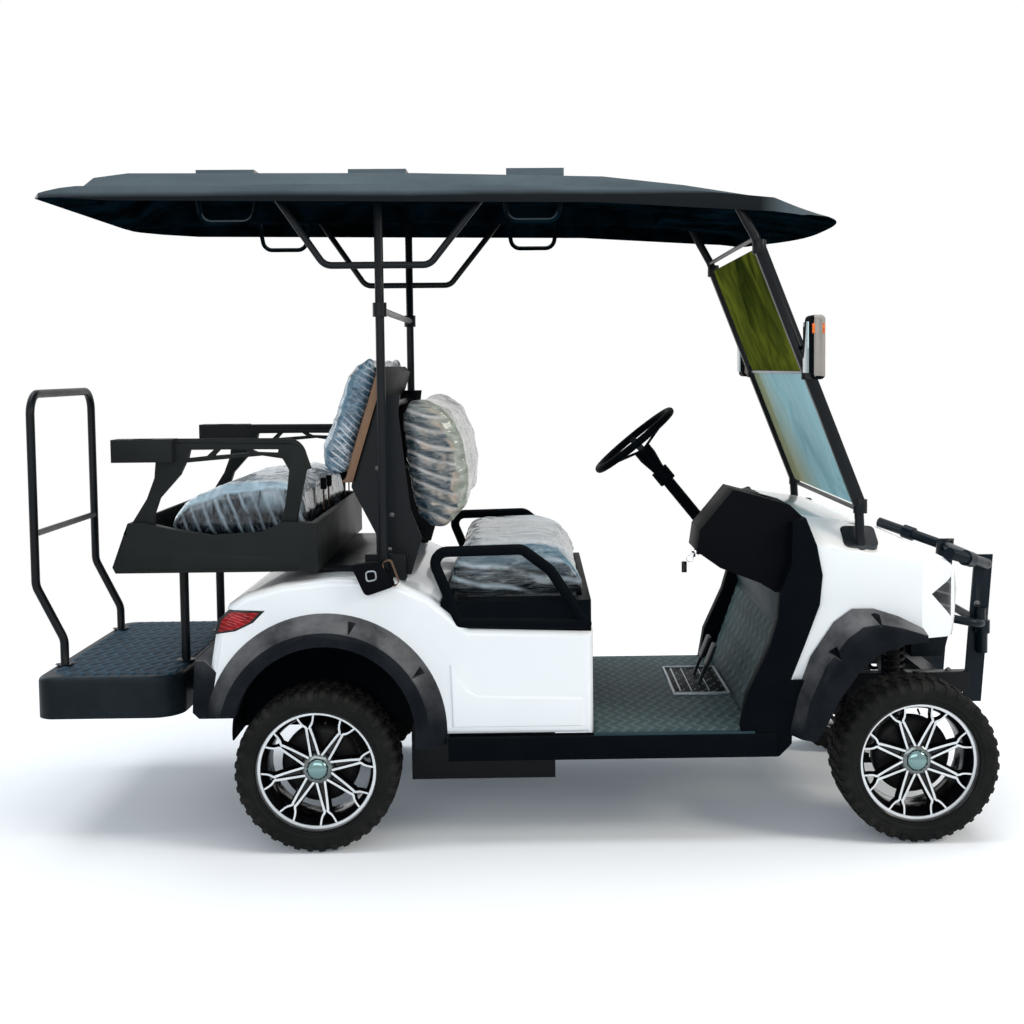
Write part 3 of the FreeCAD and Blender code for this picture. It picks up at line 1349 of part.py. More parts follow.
def make_armrests(box):
    """Two armrests: a cup holder and a round rail over a webbed side with two raked legs."""
    rear_x = rear_axle_x - arm_rear_offset
    front_x = rear_axle_x - arm_front_offset
    low_z = seat_box_top_z - 2 * overrun
    legs = slab(spread(arm_side_shares, rear_x, front_x, low_z, arm_top_z), arm_inner_y, arm_inner_y + arm_thickness)
    for window in arm_window_shares:
        legs = legs.cut(slab(spread(window, rear_x, front_x, low_z, arm_top_z), arm_inner_y - overrun,
                             arm_inner_y + arm_thickness + overrun))
    rail_y = arm_inner_y + arm_thickness / 2
    path = [vec(x, rail_y, z) for x, z in spread(arm_tube_shares, rear_x, front_x, low_z, arm_top_z)]
    rail = bent_tube(path, arm_tube_radius, arm_bend)
    holder = block(rear_x, rear_x + cup_box_length, arm_inner_y, arm_inner_y + arm_pad_width,
                   arm_top_z - cup_box_height, arm_top_z)
    well = Part.makeCylinder(arm_pad_width / 2 - running_gap, cup_box_height,
                             vec(rear_x + cup_box_length / 2, arm_inner_y + arm_pad_width / 2,
                                 arm_top_z - cup_box_height + running_gap))
    arm = main_piece(fused([legs, rail, holder]).cut(well).cut(box))
    return group([arm, mirrored(arm)])


# Deck, posts and grab bar

def rounded_deck(margin, low_z, top_z):
    """The deck's block with round corners in plan, drawn in by a margin."""
    half = deck_half_width - margin
    solid = block(deck_rear_x + margin, deck_front_x - margin, -half, half, low_z, top_z)
    for x, radius in ((deck_rear_x + margin, deck_rear_corner), (deck_front_x - margin, deck_front_corner)):
        corners = [edge for edge in solid.Edges
                   if abs(edge.BoundBox.XMin - x) < fit_gap and edge.BoundBox.XLength < fit_gap
                   and edge.BoundBox.YLength < fit_gap]
        solid = solid.makeFillet(radius - margin, corners)
    return solid


def make_deck(neighbours):
    """The moulded footrest deck with a rounded rim, open below."""
    low_z = deck_top_z - deck_height
    outer = rounded_deck(0, low_z, deck_top_z)
    rim = [edge for edge in outer.Edges if edge.BoundBox.ZMin > deck_top_z - fit_gap]
    outer = outer.makeFillet(deck_edge_radius, rim)
    core = rounded_deck(deck_wall, low_z - overrun, deck_skin_z)
    rim = [edge for edge in core.Edges if edge.BoundBox.ZMin > deck_skin_z - fit_gap]
    core = core.makeFillet(deck_edge_radius - deck_wall, rim)
    return main_piece(cut_by(outer.cut(core), neighbours))


def make_seat_posts():
    """Two tubes from the deck to the seat box, with their flanges."""
    x = rear_axle_x - seat_post_offset
    pieces = []
    for side in (-1, 1):
        y = side * seat_post_y
        post = Part.makeCylinder(seat_post_radius, seat_box_low_z - deck_top_z, vec(x, y, deck_top_z))
        flanges = [Part.makeCylinder(2 * seat_post_radius, grab_foot_thickness, vec(x, y, z))
                   for z in (deck_top_z, seat_box_low_z - grab_foot_thickness)]
        pieces.append(fused([post] + flanges))
    return group(pieces)


def make_grab_bar():
    """The grab hoop behind the deck, with its cross bar and foot plates."""
    upright_x = rear_axle_x - rear_overhang + grab_radius
    foot_x = upright_x + grab_foot_run
    foot_z = deck_top_z
    low = [vec(foot_x, -grab_half_width, foot_z), vec(foot_x, -grab_half_width, foot_z + grab_foot_rise),
           vec(upright_x, -grab_half_width, foot_z + 3 * grab_foot_rise),
           vec(upright_x, -grab_half_width, grab_top_z - grab_radius)]
    high = [vec(point.x, grab_half_width, point.z) for point in reversed(low)]
    hoop = bent_tube(low + high, grab_radius, grab_bend)
    bar = rod(vec(upright_x, -grab_half_width, grab_bar_z), vec(upright_x, grab_half_width, grab_bar_z),
              grab_radius * 3 / 4)
    feet = [Part.makeCylinder(grab_foot_radius, grab_foot_thickness, vec(foot_x, side * grab_half_width, foot_z))
            for side in (-1, 1)]
    return fused([hoop, bar] + feet)


# Canopy


def roof_plan(margin):
    """Plan outline of the canopy with cut corners."""
    half = roof_half_width - margin
    rear = roof_rear_x + margin
    front = roof_front_x - margin
    cut = roof_corner
    return [(rear + cut, -half), (front - cut, -half), (front - cut / 3, -half + cut / 3), (front, -half + cut),
            (front, half - cut), (front - cut / 3, half - cut / 3), (front - cut, half), (rear + cut, half),
            (rear + cut / 3, half - cut / 3), (rear, half - cut), (rear, -half + cut),
            (rear + cut / 3, -half + cut / 3)]


def roof_deck(margin):
    """The raised middle of the canopy, lowered and narrowed by a margin."""
    base_z = roof_edge_z - roof_deck_height / 6
    start = roof_rear_x + (rear_axle_x - roof_rear_x) - roof_deck_rear_offset
    end = roof_front_x - roof_deck_front_setback
    outline = spread(roof_deck_shares, start + margin, end - margin, base_z - margin,
                     base_z + roof_deck_height + roof_deck_height / 6 - margin)
    slopes = [(-roof_deck_half_width - roof_deck_height + margin, base_z - roof_deck_height),
              (roof_deck_half_width + roof_deck_height - margin, base_z - roof_deck_height),
              (roof_deck_half_width - margin, base_z + 2 * roof_deck_height - margin),
              (-roof_deck_half_width + margin, base_z + 2 * roof_deck_height - margin)]
    prism = slab(outline, -roof_half_width, roof_half_width)
    return prism.common(cross_slab(slopes, start, end))


def make_roof():
    """The moulded canopy: a thin skin with a deep rim, a raised middle and three pads."""
    low_z = roof_edge_z - roof_height + roof_wall / 2
    skin = spread(roof_skin_shares, roof_rear_x, roof_front_x, low_z, low_z + roof_height)
    rim = spread(roof_rim_shares, roof_rear_x, roof_front_x, low_z, low_z + roof_height)
    outer = slab(skin + rim, -roof_half_width, roof_half_width)
    outer = outer.common(plan_slab(roof_plan(0), low_z - overrun, low_z + 3 * roof_height))
    below = [(x, z - roof_wall) for x, z in skin]
    below += [(roof_rear_x, low_z - overrun), (roof_front_x, low_z - overrun)]
    core = slab(below, -roof_half_width, roof_half_width)
    core = core.common(plan_slab(roof_plan(roof_wall), low_z - 2 * overrun, low_z + 3 * roof_height))
    pads = []
    for share in roof_pad_shares:
        start = rear_axle_x - roof_deck_rear_offset
        x = start + share * (roof_front_x - roof_deck_front_setback - start)
        pads.append(block(x - roof_pad_length / 2, x + roof_pad_length / 2, -roof_pad_half_width,
                          roof_pad_half_width, roof_edge_z, roof_edge_z + roof_deck_height + roof_pad_height))
    outer = fused([outer, roof_deck(0)] + pads)
    roof = main_piece(outer.cut(core).cut(roof_deck(roof_wall)))
    return main_piece(fused([roof] + roof_handles()))


def roof_handles():
    """Four grab handles that hang from the canopy's skin."""
    high_z = roof_edge_z - roof_wall / 2
    lean = roof_handle_bend / 2
    handles = []
    for offset in (rear_handle_offset, front_handle_offset):
        start = rear_axle_x + offset
        end = start + roof_handle_length
        path = [vec(start, roof_handle_y, high_z), vec(start + lean, roof_handle_y, roof_handle_low_z),
                vec(end - lean, roof_handle_y, roof_handle_low_z), vec(end, roof_handle_y, high_z)]
        handle = bent_tube(path, roof_handle_radius, roof_handle_bend)
        handles += [handle, mirrored(handle)]
    return handles


def make_rear_roof_frame(neighbours):
    """The rear canopy frame: two posts with trapezoid struts, clamps and a cross bar."""
    x = rear_axle_x + post_offset
    pieces = []
    top_z = roof_edge_z + roof_deck_height
    feet = (trapezoid_rear_top, trapezoid_rear_low, trapezoid_front_low, trapezoid_front_top)
    for side in (-1, 1):
        y = side * post_y
        pieces.append(rod(vec(x, y, body_top_z - overrun), vec(x, y, top_z), post_radius))
        pieces.append(Part.makeCylinder(post_foot_radius, 2 * grab_foot_thickness,
                                        vec(x, y, body_top_z - grab_foot_thickness)))
        strut = [vec(rear_axle_x + foot, y, z)
                 for foot, z in zip(feet, (top_z, trapezoid_low_z, trapezoid_low_z, top_z))]
        pieces.append(bent_tube(strut, trapezoid_radius, 4 * trapezoid_radius))
        pieces.append(Part.makeCylinder(clamp_radius, clamp_height, vec(x, y, clamp_z - clamp_height / 2)))
    pieces.append(rod(vec(x, -post_y, clamp_z), vec(x, post_y, clamp_z), trapezoid_radius))
    return main_piece(cut_by(fused(pieces), neighbours))


def pillar_points(y):
    """The bends of one windshield pillar, from the canopy down to the cowl."""
    top = front_axle_x - pillar_top_offset
    knee = front_axle_x - pillar_knee_offset
    head_x = top - (roof_edge_z - pillar_top_z)
    return [vec(head_x, y, roof_edge_z + overrun), vec(top, y, pillar_top_z - overrun * 3),
            vec(knee, y, pillar_knee_z), vec(knee + pillar_foot_run, y, pillar_foot_z - 2 * overrun)]


def pillar_x(z):
    """Where the sloping part of a pillar is at a height."""
    high = pillar_points(0)[1]
    low = pillar_points(0)[2]
    return low.x + (z - low.z) * (high.x - low.x) / (high.z - low.z)


def pillar_pad():
    """One rounded foot pad, laid on the cowl's right shoulder."""
    crease_z, top_z = [z_on(cowl_outline(shares), pillar_points(0)[3].x)
                       for shares in (cowl_crease_shares, cowl_top_shares)]
    slope = math.degrees(math.atan2(top_z - crease_z, shoulder_run))
    pad = block(-pillar_pad_length / 2, pillar_pad_length / 2, -pillar_pad_width / 2, pillar_pad_width / 2,
                -pillar_pad_height, pillar_pad_height)
    corners = [edge for edge in pad.Edges if edge.BoundBox.ZLength > pillar_pad_height]
    pad = pad.makeFillet(pillar_pad_corner, corners)
    pad.rotate(vec(0, 0, 0), vec(1, 0, 0), slope)
    return pad.translated(vec(pillar_points(0)[3].x, shoulder_run / 2 - body_half_width, (crease_z + top_z) / 2))


def make_windshield_frame(neighbours):
    """Two bent pillars with glass channels, clamps and foot pads, joined by two rails."""
    pad = pillar_pad()
    pieces = [pad, mirrored(pad)]
    half = channel_depth / 2
    half_width = pillar_radius - channel_inset
    for side in (-1, 1):
        y = side * pillar_y
        pieces.append(bent_tube(pillar_points(y), pillar_radius, 4 * pillar_radius))
        channel = [(pillar_x(glass_low_z) - half, glass_low_z), (pillar_x(glass_low_z) + half, glass_low_z),
                   (pillar_x(glass_top_z) + half, glass_top_z), (pillar_x(glass_top_z) - half, glass_top_z)]
        pieces.append(slab(channel, y - half_width, y + half_width))
        for z in (glass_low_z, glass_split_z, glass_top_z):
            x = pillar_x(z)
            pieces.append(Part.makeCylinder(clamp_radius, clamp_height, vec(x, y, z - clamp_height / 2)))
    for z in (glass_low_z - pillar_radius, glass_top_z + 2 * pillar_radius):
        x = pillar_x(z)
        pieces.append(rod(vec(x, -pillar_y, z), vec(x, pillar_y, z), pillar_radius / 2))
    return main_piece(cut_by(fused(pieces), neighbours))


def make_glass(frame):
    """Two flat panes in the plane of the pillars."""
    half = pillar_y - pillar_radius / 2
    panes = []
    for low, high in ((glass_low_z, glass_split_z - glass_gap / 2), (glass_split_z + glass_gap / 2, glass_top_z)):
        low_x = pillar_x(low)
        high_x = pillar_x(high)
        outline = [(low_x - glass_thickness / 2, low), (low_x + glass_thickness / 2, low),
                   (high_x + glass_thickness / 2, high), (high_x - glass_thickness / 2, high)]
        panes.append(main_piece(slab(outline, -half, half).cut(frame)))
    return group(panes)


def make_mirrors(frame):
    """Two door mirrors on stalks from the pillars."""
    x = front_axle_x - mirror_offset
    head = block(x - mirror_depth / 2, x + mirror_depth / 2, mirror_y - mirror_half_width,
                 mirror_y + mirror_half_width, mirror_z - mirror_height / 2, mirror_z + mirror_height / 2)
    head = head.makeFillet(mirror_depth / 3, head.Edges)
    stalk = rod(vec(pillar_x(mirror_z), pillar_y, mirror_z), vec(x, mirror_y, mirror_z), mirror_stalk_radius)
    mirror = main_piece(fused([head, stalk]).cut(frame))
    return group([mirror, mirrored(mirror)])


# Controls


def make_column(dash):
    """The steering column with its boot and collar, ending in the dash."""
    top = steering_centre + column_axis * (steering_dish + steering_hub_height + fit_gap)
    bottom = steering_centre + column_axis * column_length
    column = rod(top, bottom, column_radius)
    boot = Part.makeCone(steering_hub_radius, column_radius, 2 * steering_hub_height, top, column_axis)
    collar = Part.makeCylinder(collar_radius, collar_length, steering_centre + column_axis * collar_start,
                               column_axis)
    return main_piece(fused([column, boot, collar]).cut(dash))


def make_steering_wheel():
    """The steering wheel: a ring, three spokes and a dished hub."""
    ring = Part.makeTorus(wheel_ring_radius, wheel_ring_tube)
    hub = Part.makeCylinder(steering_hub_radius, steering_hub_height, vec(0, 0, steering_dish))
    spokes = []
    for turn in spoke_turns:
        outline = [(0, steering_dish), (wheel_ring_radius, -steering_spoke_thickness / 2),
                   (wheel_ring_radius, steering_spoke_thickness / 2),
                   (0, steering_dish + steering_spoke_thickness)]
        corners = [vec(x, -steering_spoke_width / 2, z) for x, z in outline]
        spoke = Part.Face(Part.makePolygon(corners + corners[:1])).extrude(vec(0, steering_spoke_width, 0))
        spoke.rotate(vec(0, 0, 0), vec(0, 0, 1), turn)
        spokes.append(spoke)
    wheel = fused([ring, hub] + spokes)
    wheel.Placement = FreeCAD.Placement(steering_centre, FreeCAD.Rotation(vec(0, 0, 1), column_axis))
    return wheel


def make_pedals():
    """A plate on the floor with the brake and throttle pedals."""
    x = front_axle_x - pedal_plate_offset
    plate = block(x - pedal_plate_length / 2, x + pedal_plate_length / 2, pedal_plate_y - pedal_plate_half_width,
                  pedal_plate_y + pedal_plate_half_width, floor_top_z, floor_top_z + pedal_plate_thickness)
    pieces = [plate]
    for y in (brake_pedal_y, throttle_pedal_y):
        low = floor_top_z
        outline = [(x, low), (x + pedal_thickness, low), (x + pedal_thickness + pedal_lean, low + pedal_height),
                   (x + pedal_lean, low + pedal_height)]
        pieces.append(slab(outline, y - pedal_arm_width / 2, y + pedal_arm_width / 2))
        top = [(x + pedal_lean / 2, low + pedal_height / 2),
               (x + pedal_thickness + pedal_lean / 2, low + pedal_height / 2)] + outline[2:]
        pieces.append(slab(top, y - pedal_pad_width / 2, y + pedal_pad_width / 2))
    return fused(pieces)


def build_nodes():
    """Every sub-part by name, each cut by what it seats against."""
    nodes = {}
    body = rear_body_solid()
    cowl = cowl_solid()
    guard = make_guard(cowl)
    chassis = make_chassis([guard])
    rear_axle = make_rear_axle()
    nodes["chassis"] = chassis
    nodes["battery_tray"] = make_battery_tray().cut(chassis)
    nodes["battery"] = make_battery()
    nodes["front_axle"] = make_front_axle()
    nodes["rear_axle"] = rear_axle
    nodes["springs"] = make_springs(chassis, rear_axle)
    nodes["sills"] = group([cut_by(sill, [chassis]) for sill in make_sills().Solids])
    nodes["floor_pan"] = main_piece(cut_by(make_floor(), [cowl]))
    dash_solid = dash_outer()
    nodes["dash"] = main_piece(make_dash(cowl, dash_solid).cut(nodes["floor_pan"]))
    nodes["flares"] = make_flares()
    nodes["leg_shields"] = make_shields([chassis, cowl, dash_solid, nodes["floor_pan"], nodes["sills"],
                                         nodes["flares"]])
    nodes["rear_body"] = make_rear_body(body)
    nodes["wheel_liners"] = make_liners()
    nodes["cowl"] = make_cowl(cowl)
    nodes["front_guard"] = guard
    nodes["front_bumper"] = make_front_bumper(cowl).cut(guard)
    arch = arch_cylinder(arch_radius, -body_half_width - overrun, body_half_width + overrun)
    nodes["rear_bumper"] = make_rear_bumper([body, chassis, arch])
    nodes["headlamps"] = group([headlamp(side, cowl) for side in (-1, 1)])
    nodes["tail_lamps"] = group([tail_lamp(side) for side in (-1, 1)])
    nodes["seat_surround"] = make_seat_surround(body)
    nodes["front_cushion"] = make_front_cushion()
    front_back = make_front_back()
    rear_back = make_rear_back()
    board = make_board(rear_back)
    nodes["front_backrest"] = front_back
    nodes["rear_backrest"] = rear_back
    nodes["backrest_board"] = board
    box = make_seat_box([])
    nodes["rear_seat_box"] = box
    nodes["backrest_frame"] = make_back_frame([front_back, rear_back, board, body, box])
    nodes["rear_cushion"] = make_rear_cushion()
    nodes["armrests"] = make_armrests(box)
    nodes["footrest_deck"] = make_deck([chassis])
    nodes["seat_posts"] = make_seat_posts()
    nodes["grab_bar"] = make_grab_bar()
    roof = make_roof()
    nodes["canopy"] = roof
    nodes["canopy_rear_frame"] = make_rear_roof_frame([roof, body])
    frame = make_windshield_frame([roof, cowl])
    nodes["windshield_frame"] = frame
    nodes["windshield_glass"] = make_glass(frame)
    nodes["mirrors"] = make_mirrors(frame)
    nodes["steering_column"] = make_column(dash_solid)
    nodes["steering_wheel"] = make_steering_wheel()
    nodes["pedals"] = make_pedals()
    nodes["tie_rod"] = make_tie_rod()
    for name, side in (("right", -1), ("left", 1)):
        nodes["knuckle_" + name] = make_knuckle(side)
        nodes["front_tyre_" + name] = make_tyre(front_axle_x, side)
        nodes["front_rim_" + name] = make_rim(front_axle_x, side)
        nodes["rear_tyre_" + name] = make_tyre(rear_axle_x, side)
        nodes["rear_rim_" + name] = make_rim(rear_axle_x, side)
    return nodes


def main():
    """Write each sub-part about the middle of the overall length."""
    os.makedirs("parts", exist_ok=True)
    for name, shape in build_nodes().items():
        placed = shape.translated(vec(middle_x, 0, 0))
        placed.exportStep("parts/" + name + ".step")
        print(name, len(placed.Solids), placed.isValid(), round(placed.Volume / 1e6, 2))


main()
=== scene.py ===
"""The looks of a raised golf cart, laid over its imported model.

Sizes are in metres. X points forward, Y to the driver's left, Z up, and the ground is at
zero height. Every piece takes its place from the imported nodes, and rides on the body that
carries it.
"""

import logging
import math
from dataclasses import dataclass
from enum import Enum
from typing import Callable, Iterable, Sequence

import bmesh
import bpy
from mathutils import Matrix, Vector, noise


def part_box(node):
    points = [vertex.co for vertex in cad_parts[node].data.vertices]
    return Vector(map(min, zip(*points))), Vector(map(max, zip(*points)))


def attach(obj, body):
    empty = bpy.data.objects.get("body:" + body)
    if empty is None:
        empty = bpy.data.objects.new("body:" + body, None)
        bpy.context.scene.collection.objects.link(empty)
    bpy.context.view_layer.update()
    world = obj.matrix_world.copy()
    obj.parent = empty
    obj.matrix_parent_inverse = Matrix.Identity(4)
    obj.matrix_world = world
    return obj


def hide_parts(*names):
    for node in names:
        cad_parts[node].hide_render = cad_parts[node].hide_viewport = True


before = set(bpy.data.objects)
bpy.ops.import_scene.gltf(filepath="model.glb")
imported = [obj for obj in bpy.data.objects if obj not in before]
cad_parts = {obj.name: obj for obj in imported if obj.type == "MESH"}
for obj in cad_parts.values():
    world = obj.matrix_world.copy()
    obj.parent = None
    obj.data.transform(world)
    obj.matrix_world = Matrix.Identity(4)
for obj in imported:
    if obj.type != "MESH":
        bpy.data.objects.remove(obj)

log = logging.getLogger("cart")

Point = tuple[float, float, float]
Flat = tuple[float, float]
Colour = tuple[float, float, float]
Chooser = Callable[[Vector, Vector], int]
Shaper = Callable[[bmesh.types.BMesh], None]

FRONT_AXLE_X = 1.2645
REAR_AXLE_X = -0.6455
AXLE_Z = 0.26
WHEEL_Y = 0.5125
SIDES = {"right": -1, "left": 1}
SIGNS = (-1, 1)

# Points closer than this are one, in meshes made here and in copies of packed ones.
MERGE = 2e-6
PACKED_MERGE = 1e-5
# Angles in degrees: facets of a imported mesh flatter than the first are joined, its edges sharper than
# the second are rounded, and shading breaks at the third on made pieces and at the fourth on packed ones.
FLAT_DEG = 0.6
ROUND_DEG = 28.0
MADE_CREASE_DEG = 40.0
PACKED_CREASE_DEG = 36.0
# The shape of a rounded edge, where this is a plain arc, and the share of a leg that a bend may take.
ARC = 0.5
BEND_SHARE = 0.48


class Body(Enum):
    """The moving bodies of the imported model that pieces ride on."""

    CART = "cart"
    FRONT_SEAT = "front_seat"
    REAR_SEAT = "rear_seat"
    STEERING_WHEEL = "steering_wheel"
    FRONT_WHEEL_RIGHT = "front_wheel_right"
    FRONT_WHEEL_LEFT = "front_wheel_left"
    REAR_WHEEL_RIGHT = "rear_wheel_right"
    REAR_WHEEL_LEFT = "rear_wheel_left"


class Slot(Enum):
    """The material slots of the record."""

    BODY_WHITE = "body_white"
    BLACK_PLASTIC = "black_plastic"
    CANOPY_PLASTIC = "canopy_plastic"
    FRAME_BLACK = "frame_black"
    AXLE_STEEL = "axle_steel"
    PEDAL_STEEL = "pedal_steel"
    TYRE = "tyre"
    RIM = "rim"
    SEAT_VINYL = "seat_vinyl"
    SEAT_BOARD = "seat_board"
    LAMP_DARK = "lamp_dark"
    LAMP_RED = "lamp_red"
    TINTED_GLASS = "tinted_glass"
    BATTERY_CASE = "battery_case"


class Wire:
    """One output of a shader node, used like a number in an expression."""

    def __init__(self, shader: "Shader", socket: bpy.types.NodeSocket) -> None:
        """Keeps the socket and the shader that it belongs to."""
        self.shader = shader
        self.socket = socket

    def _maths(self, operation: str, first: "Wire | float", second: "Wire | float" = 0.0) -> "Wire":
        """Adds a Math node for one operation."""
        return self.shader.node("ShaderNodeMath", {"operation": operation}, {0: first, 1: second})

    def __add__(self, other: "Wire | float") -> "Wire":
        """Adds a value."""
        return self._maths("ADD", self, other)

    __radd__ = __add__

    def __mul__(self, other: "Wire | float") -> "Wire":
        """Multiplies by a value."""
        return self._maths("MULTIPLY", self, other)

    __rmul__ = __mul__

    def __sub__(self, other: "Wire | float") -> "Wire":
        """Takes a value away."""
        return self._maths("SUBTRACT", self, other)

    def __rsub__(self, other: float) -> "Wire":
        """Takes this value away from a number."""
        return self._maths("SUBTRACT", other, self)

    def highest(self, other: "Wire | float") -> "Wire":
        """Gives the larger of two values."""
        return self._maths("MAXIMUM", self, other)

    def __abs__(self) -> "Wire":
        """Drops the sign."""
        return self._maths("ABSOLUTE", self)

    def sine(self) -> "Wire":
        """Gives the sine of this value."""
        return self._maths("SINE", self)

    def within(self, low: float, high: float) -> "Wire":
        """Maps the span from low to high onto 0 to 1, and holds it there."""
        return self.shader.node("ShaderNodeMapRange", {"clamp": True},
                                {0: self, 1: low, 2: high, 3: 0.0, 4: 1.0})


class Shader:
    """The node tree of a material or of the world, being wired."""

    def __init__(self, owner: bpy.types.Material | bpy.types.World) -> None:
        """Starts with the owner's tree, emptied."""
        owner.use_nodes = True
        self.owner = owner
        self.tree = owner.node_tree
        self.tree.nodes.clear()

    def node(self, kind: str, settings: dict | None = None, inputs: dict | None = None,
             out: int | str = 0) -> Wire:
        """Adds any node.

        Args:
            kind: The node's type name.
            settings: Properties set before the links.
            inputs: Values or wires by socket name or number.
            out: The output that is returned.

        Returns:
            The wire of that output.
        """
        made = self.tree.nodes.new(kind)
        for key, value in (settings or {}).items():
            setattr(made, key, value)
        for key, value in (inputs or {}).items():
            target = made.inputs[key]
            if isinstance(value, Wire):
                self.tree.links.new(value.socket, target)
            elif target.type == "RGBA" and len(value) == 3:
                target.default_value = (*value, 1.0)
            else:
                target.default_value = value
        return Wire(self, made.outputs[out])

    def place(self) -> Wire:
        """Gives the point on the object in metres."""
        return self.node("ShaderNodeTexCoord", out="Object")

    def parts(self, vector: Wire) -> tuple[Wire, Wire, Wire]:
        """Splits a vector into its three numbers."""
        x = self.node("ShaderNodeSeparateXYZ", None, {0: vector})
        owner = x.socket.node
        return x, Wire(self, owner.outputs[1]), Wire(self, owner.outputs[2])

    def axes(self) -> tuple[Wire, Wire, Wire]:
        """Gives the three numbers of the object point."""
        return self.parts(self.place())

    def facing(self) -> Wire:
        """Gives the way that the surface faces, on the object."""
        return self.node("ShaderNodeTexCoord", out="Normal")

    def up(self) -> Wire:
        """Gives how much the surface faces up."""
        return self.parts(self.facing())[2]

    def stretched(self, scale: Point) -> Wire:
        """Gives the object point scaled along each axis."""
        return self.node("ShaderNodeMapping", None, {"Vector": self.place(), "Scale": scale})

    def noise(self, scale: float, detail: float = 4.0, rough: float = 0.5, vector: Wire | None = None,
              twist: float = 0.0) -> Wire:
        """Gives noise around 0.5, with a scale in features per metre, octaves, their share and a twist."""
        return self.node("ShaderNodeTexNoise", None,
                         {"Vector": vector or self.place(), "Scale": scale, "Detail": detail,
                          "Roughness": rough, "Distortion": twist})

    def cells(self, scale: float) -> Wire:
        """Adds a Voronoi texture and gives its distance."""
        return self.node("ShaderNodeTexVoronoi", {"feature": "F1"}, {"Vector": self.place(), "Scale": scale})

    def mix(self, share: Wire | float, first: Wire | Colour, second: Wire | Colour) -> Wire:
        """Blends two colours by a share from 0 to 1."""
        return self.node("ShaderNodeMix", {"data_type": "RGBA"}, {0: share, 6: first, 7: second}, out=2)

    def bump(self, height: Wire, strength: float, distance: float, under: Wire | None = None) -> Wire:
        """Turns a height into a normal.

        Args:
            height: The height, from 0 to 1.
            strength: Share of the effect.
            distance: Depth in metres.
            under: A normal that this one is laid over.

        Returns:
            The normal.
        """
        inputs = {"Height": height, "Strength": strength, "Distance": distance}
        if under is not None:
            inputs["Normal"] = under
        return self.node("ShaderNodeBump", None, inputs)

    def finish(self, inputs: dict) -> bpy.types.Material:
        """Ends in a Principled surface with these inputs, and gives the material."""
        self.end(self.node("ShaderNodeBsdfPrincipled", None, inputs))
        return self.owner

    def end(self, surface: Wire, kind: str = "ShaderNodeOutputMaterial") -> None:
        """Links a surface to the tree's output."""
        made = self.tree.nodes.new(kind)
        self.tree.links.new(surface.socket, made.inputs["Surface"])


_made: dict["Finish", bpy.types.Material] = {}


@dataclass(frozen=True)
class Finish:
    """A finish of the cart, built once as a material."""

    name: str
    colour: Colour = (0.5, 0.5, 0.5)

    def wire(self, shader: Shader) -> bpy.types.Material:
        """Wires the nodes of this finish."""
        raise NotImplementedError

    def material(self) -> bpy.types.Material:
        """Gives the material, made at its first use."""
        if self not in _made:
            _made[self] = self.wire(Shader(bpy.data.materials.new(self.name)))
        return _made[self]


@dataclass(frozen=True)
class BodyPaint(Finish):
    """Glossy moulded bodywork, with painted reflections as soft warm and cool clouds on its upper faces, and
    dust low down.
    """

    # Colours of the painted reflections that the upward faces take.
    warm: Colour = (0.80, 0.68, 0.52)
    cool: Colour = (0.55, 0.68, 0.76)

    def wire(self, shader: Shader) -> bpy.types.Material:
        """Wires the paint."""
        dust = shader.noise(3.0, 5.0, 0.6)
        _, _, z = shader.axes()
        up = shader.up()
        cloud = shader.noise(1.6, 2.0, 0.4, shader.stretched((1.0, 1.6, 1.0)), 0.3)
        # Painted reflection: soft warm and cool clouds on the faces that turn up, standing in for the
        # surroundings seen in the gloss.
        level = up.within(0.25, 0.9)
        shade = shader.mix(cloud.within(0.40, 0.75) * level * 0.45, self.colour, self.warm)
        shade = shader.mix((1 - cloud).within(0.45, 0.75) * level * 0.4, shade, self.cool)
        low = 1 - z.within(0.35, 0.50)
        tone = shader.mix(dust.within(0.45, 0.75) * low * 0.3, shade, tuple(c * 0.8 for c in self.colour))
        peel = shader.noise(260.0, 2.0, 0.5)
        wave = shader.noise(5.0, 2.0, 0.4)
        normal = shader.bump(wave, 0.12, 0.004, shader.bump(peel, 0.08, 0.0004))
        return shader.finish({"Base Color": tone, "Roughness": 0.2 + dust * 0.1, "Coat Weight": 0.5,
                              "Coat Roughness": 0.05, "Specular IOR Level": 0.4, "Normal": normal})


@dataclass(frozen=True)
class GrainPlastic(Finish):
    """Black moulded plastic with a leather-like grain, paler in random rubbed patches and paler on its upward
    faces: dust, and on some uses a painted sheen of light on top.
    """

    grain: float = 420.0
    rough: float = 0.5
    rubbed: float = 0.3
    # Colour that the upward faces turn towards: dust, and where it is set bright a painted sheen of light on
    # top.
    dusty: Colour = (0.045, 0.042, 0.038)
    pale: Colour | None = None
    gloss: float = 0.09
    tops: Flat = (0.3, 0.95)

    def wire(self, shader: Shader) -> bpy.types.Material:
        """Wires the plastic."""
        cells = shader.cells(self.grain)
        cloud = shader.noise(7.0, 5.0, 0.6)
        fine = shader.noise(900.0, 2.0, 0.5)
        up = shader.up()
        pale = self.pale or tuple(c * 2.0 + 0.006 for c in self.colour)
        # Paler random patches: wear, and on the canopy's underside a painted teal sheen.
        worn = shader.mix(cloud.within(0.4, 0.8) * self.rubbed, self.colour, pale)
        # Paler upward faces: dust, and on some uses a painted sheen of light on top.
        tone = shader.mix(up.within(*self.tops) * cloud.within(0.25, 0.7) * self.rubbed, worn, self.dusty)
        normal = shader.bump(cells * 0.8 + fine * 0.3, 0.35, 0.0006)
        return shader.finish({"Base Color": tone, "Roughness": self.rough + (cloud - 0.5) * 0.25,
                              "Specular IOR Level": self.gloss, "Normal": normal})


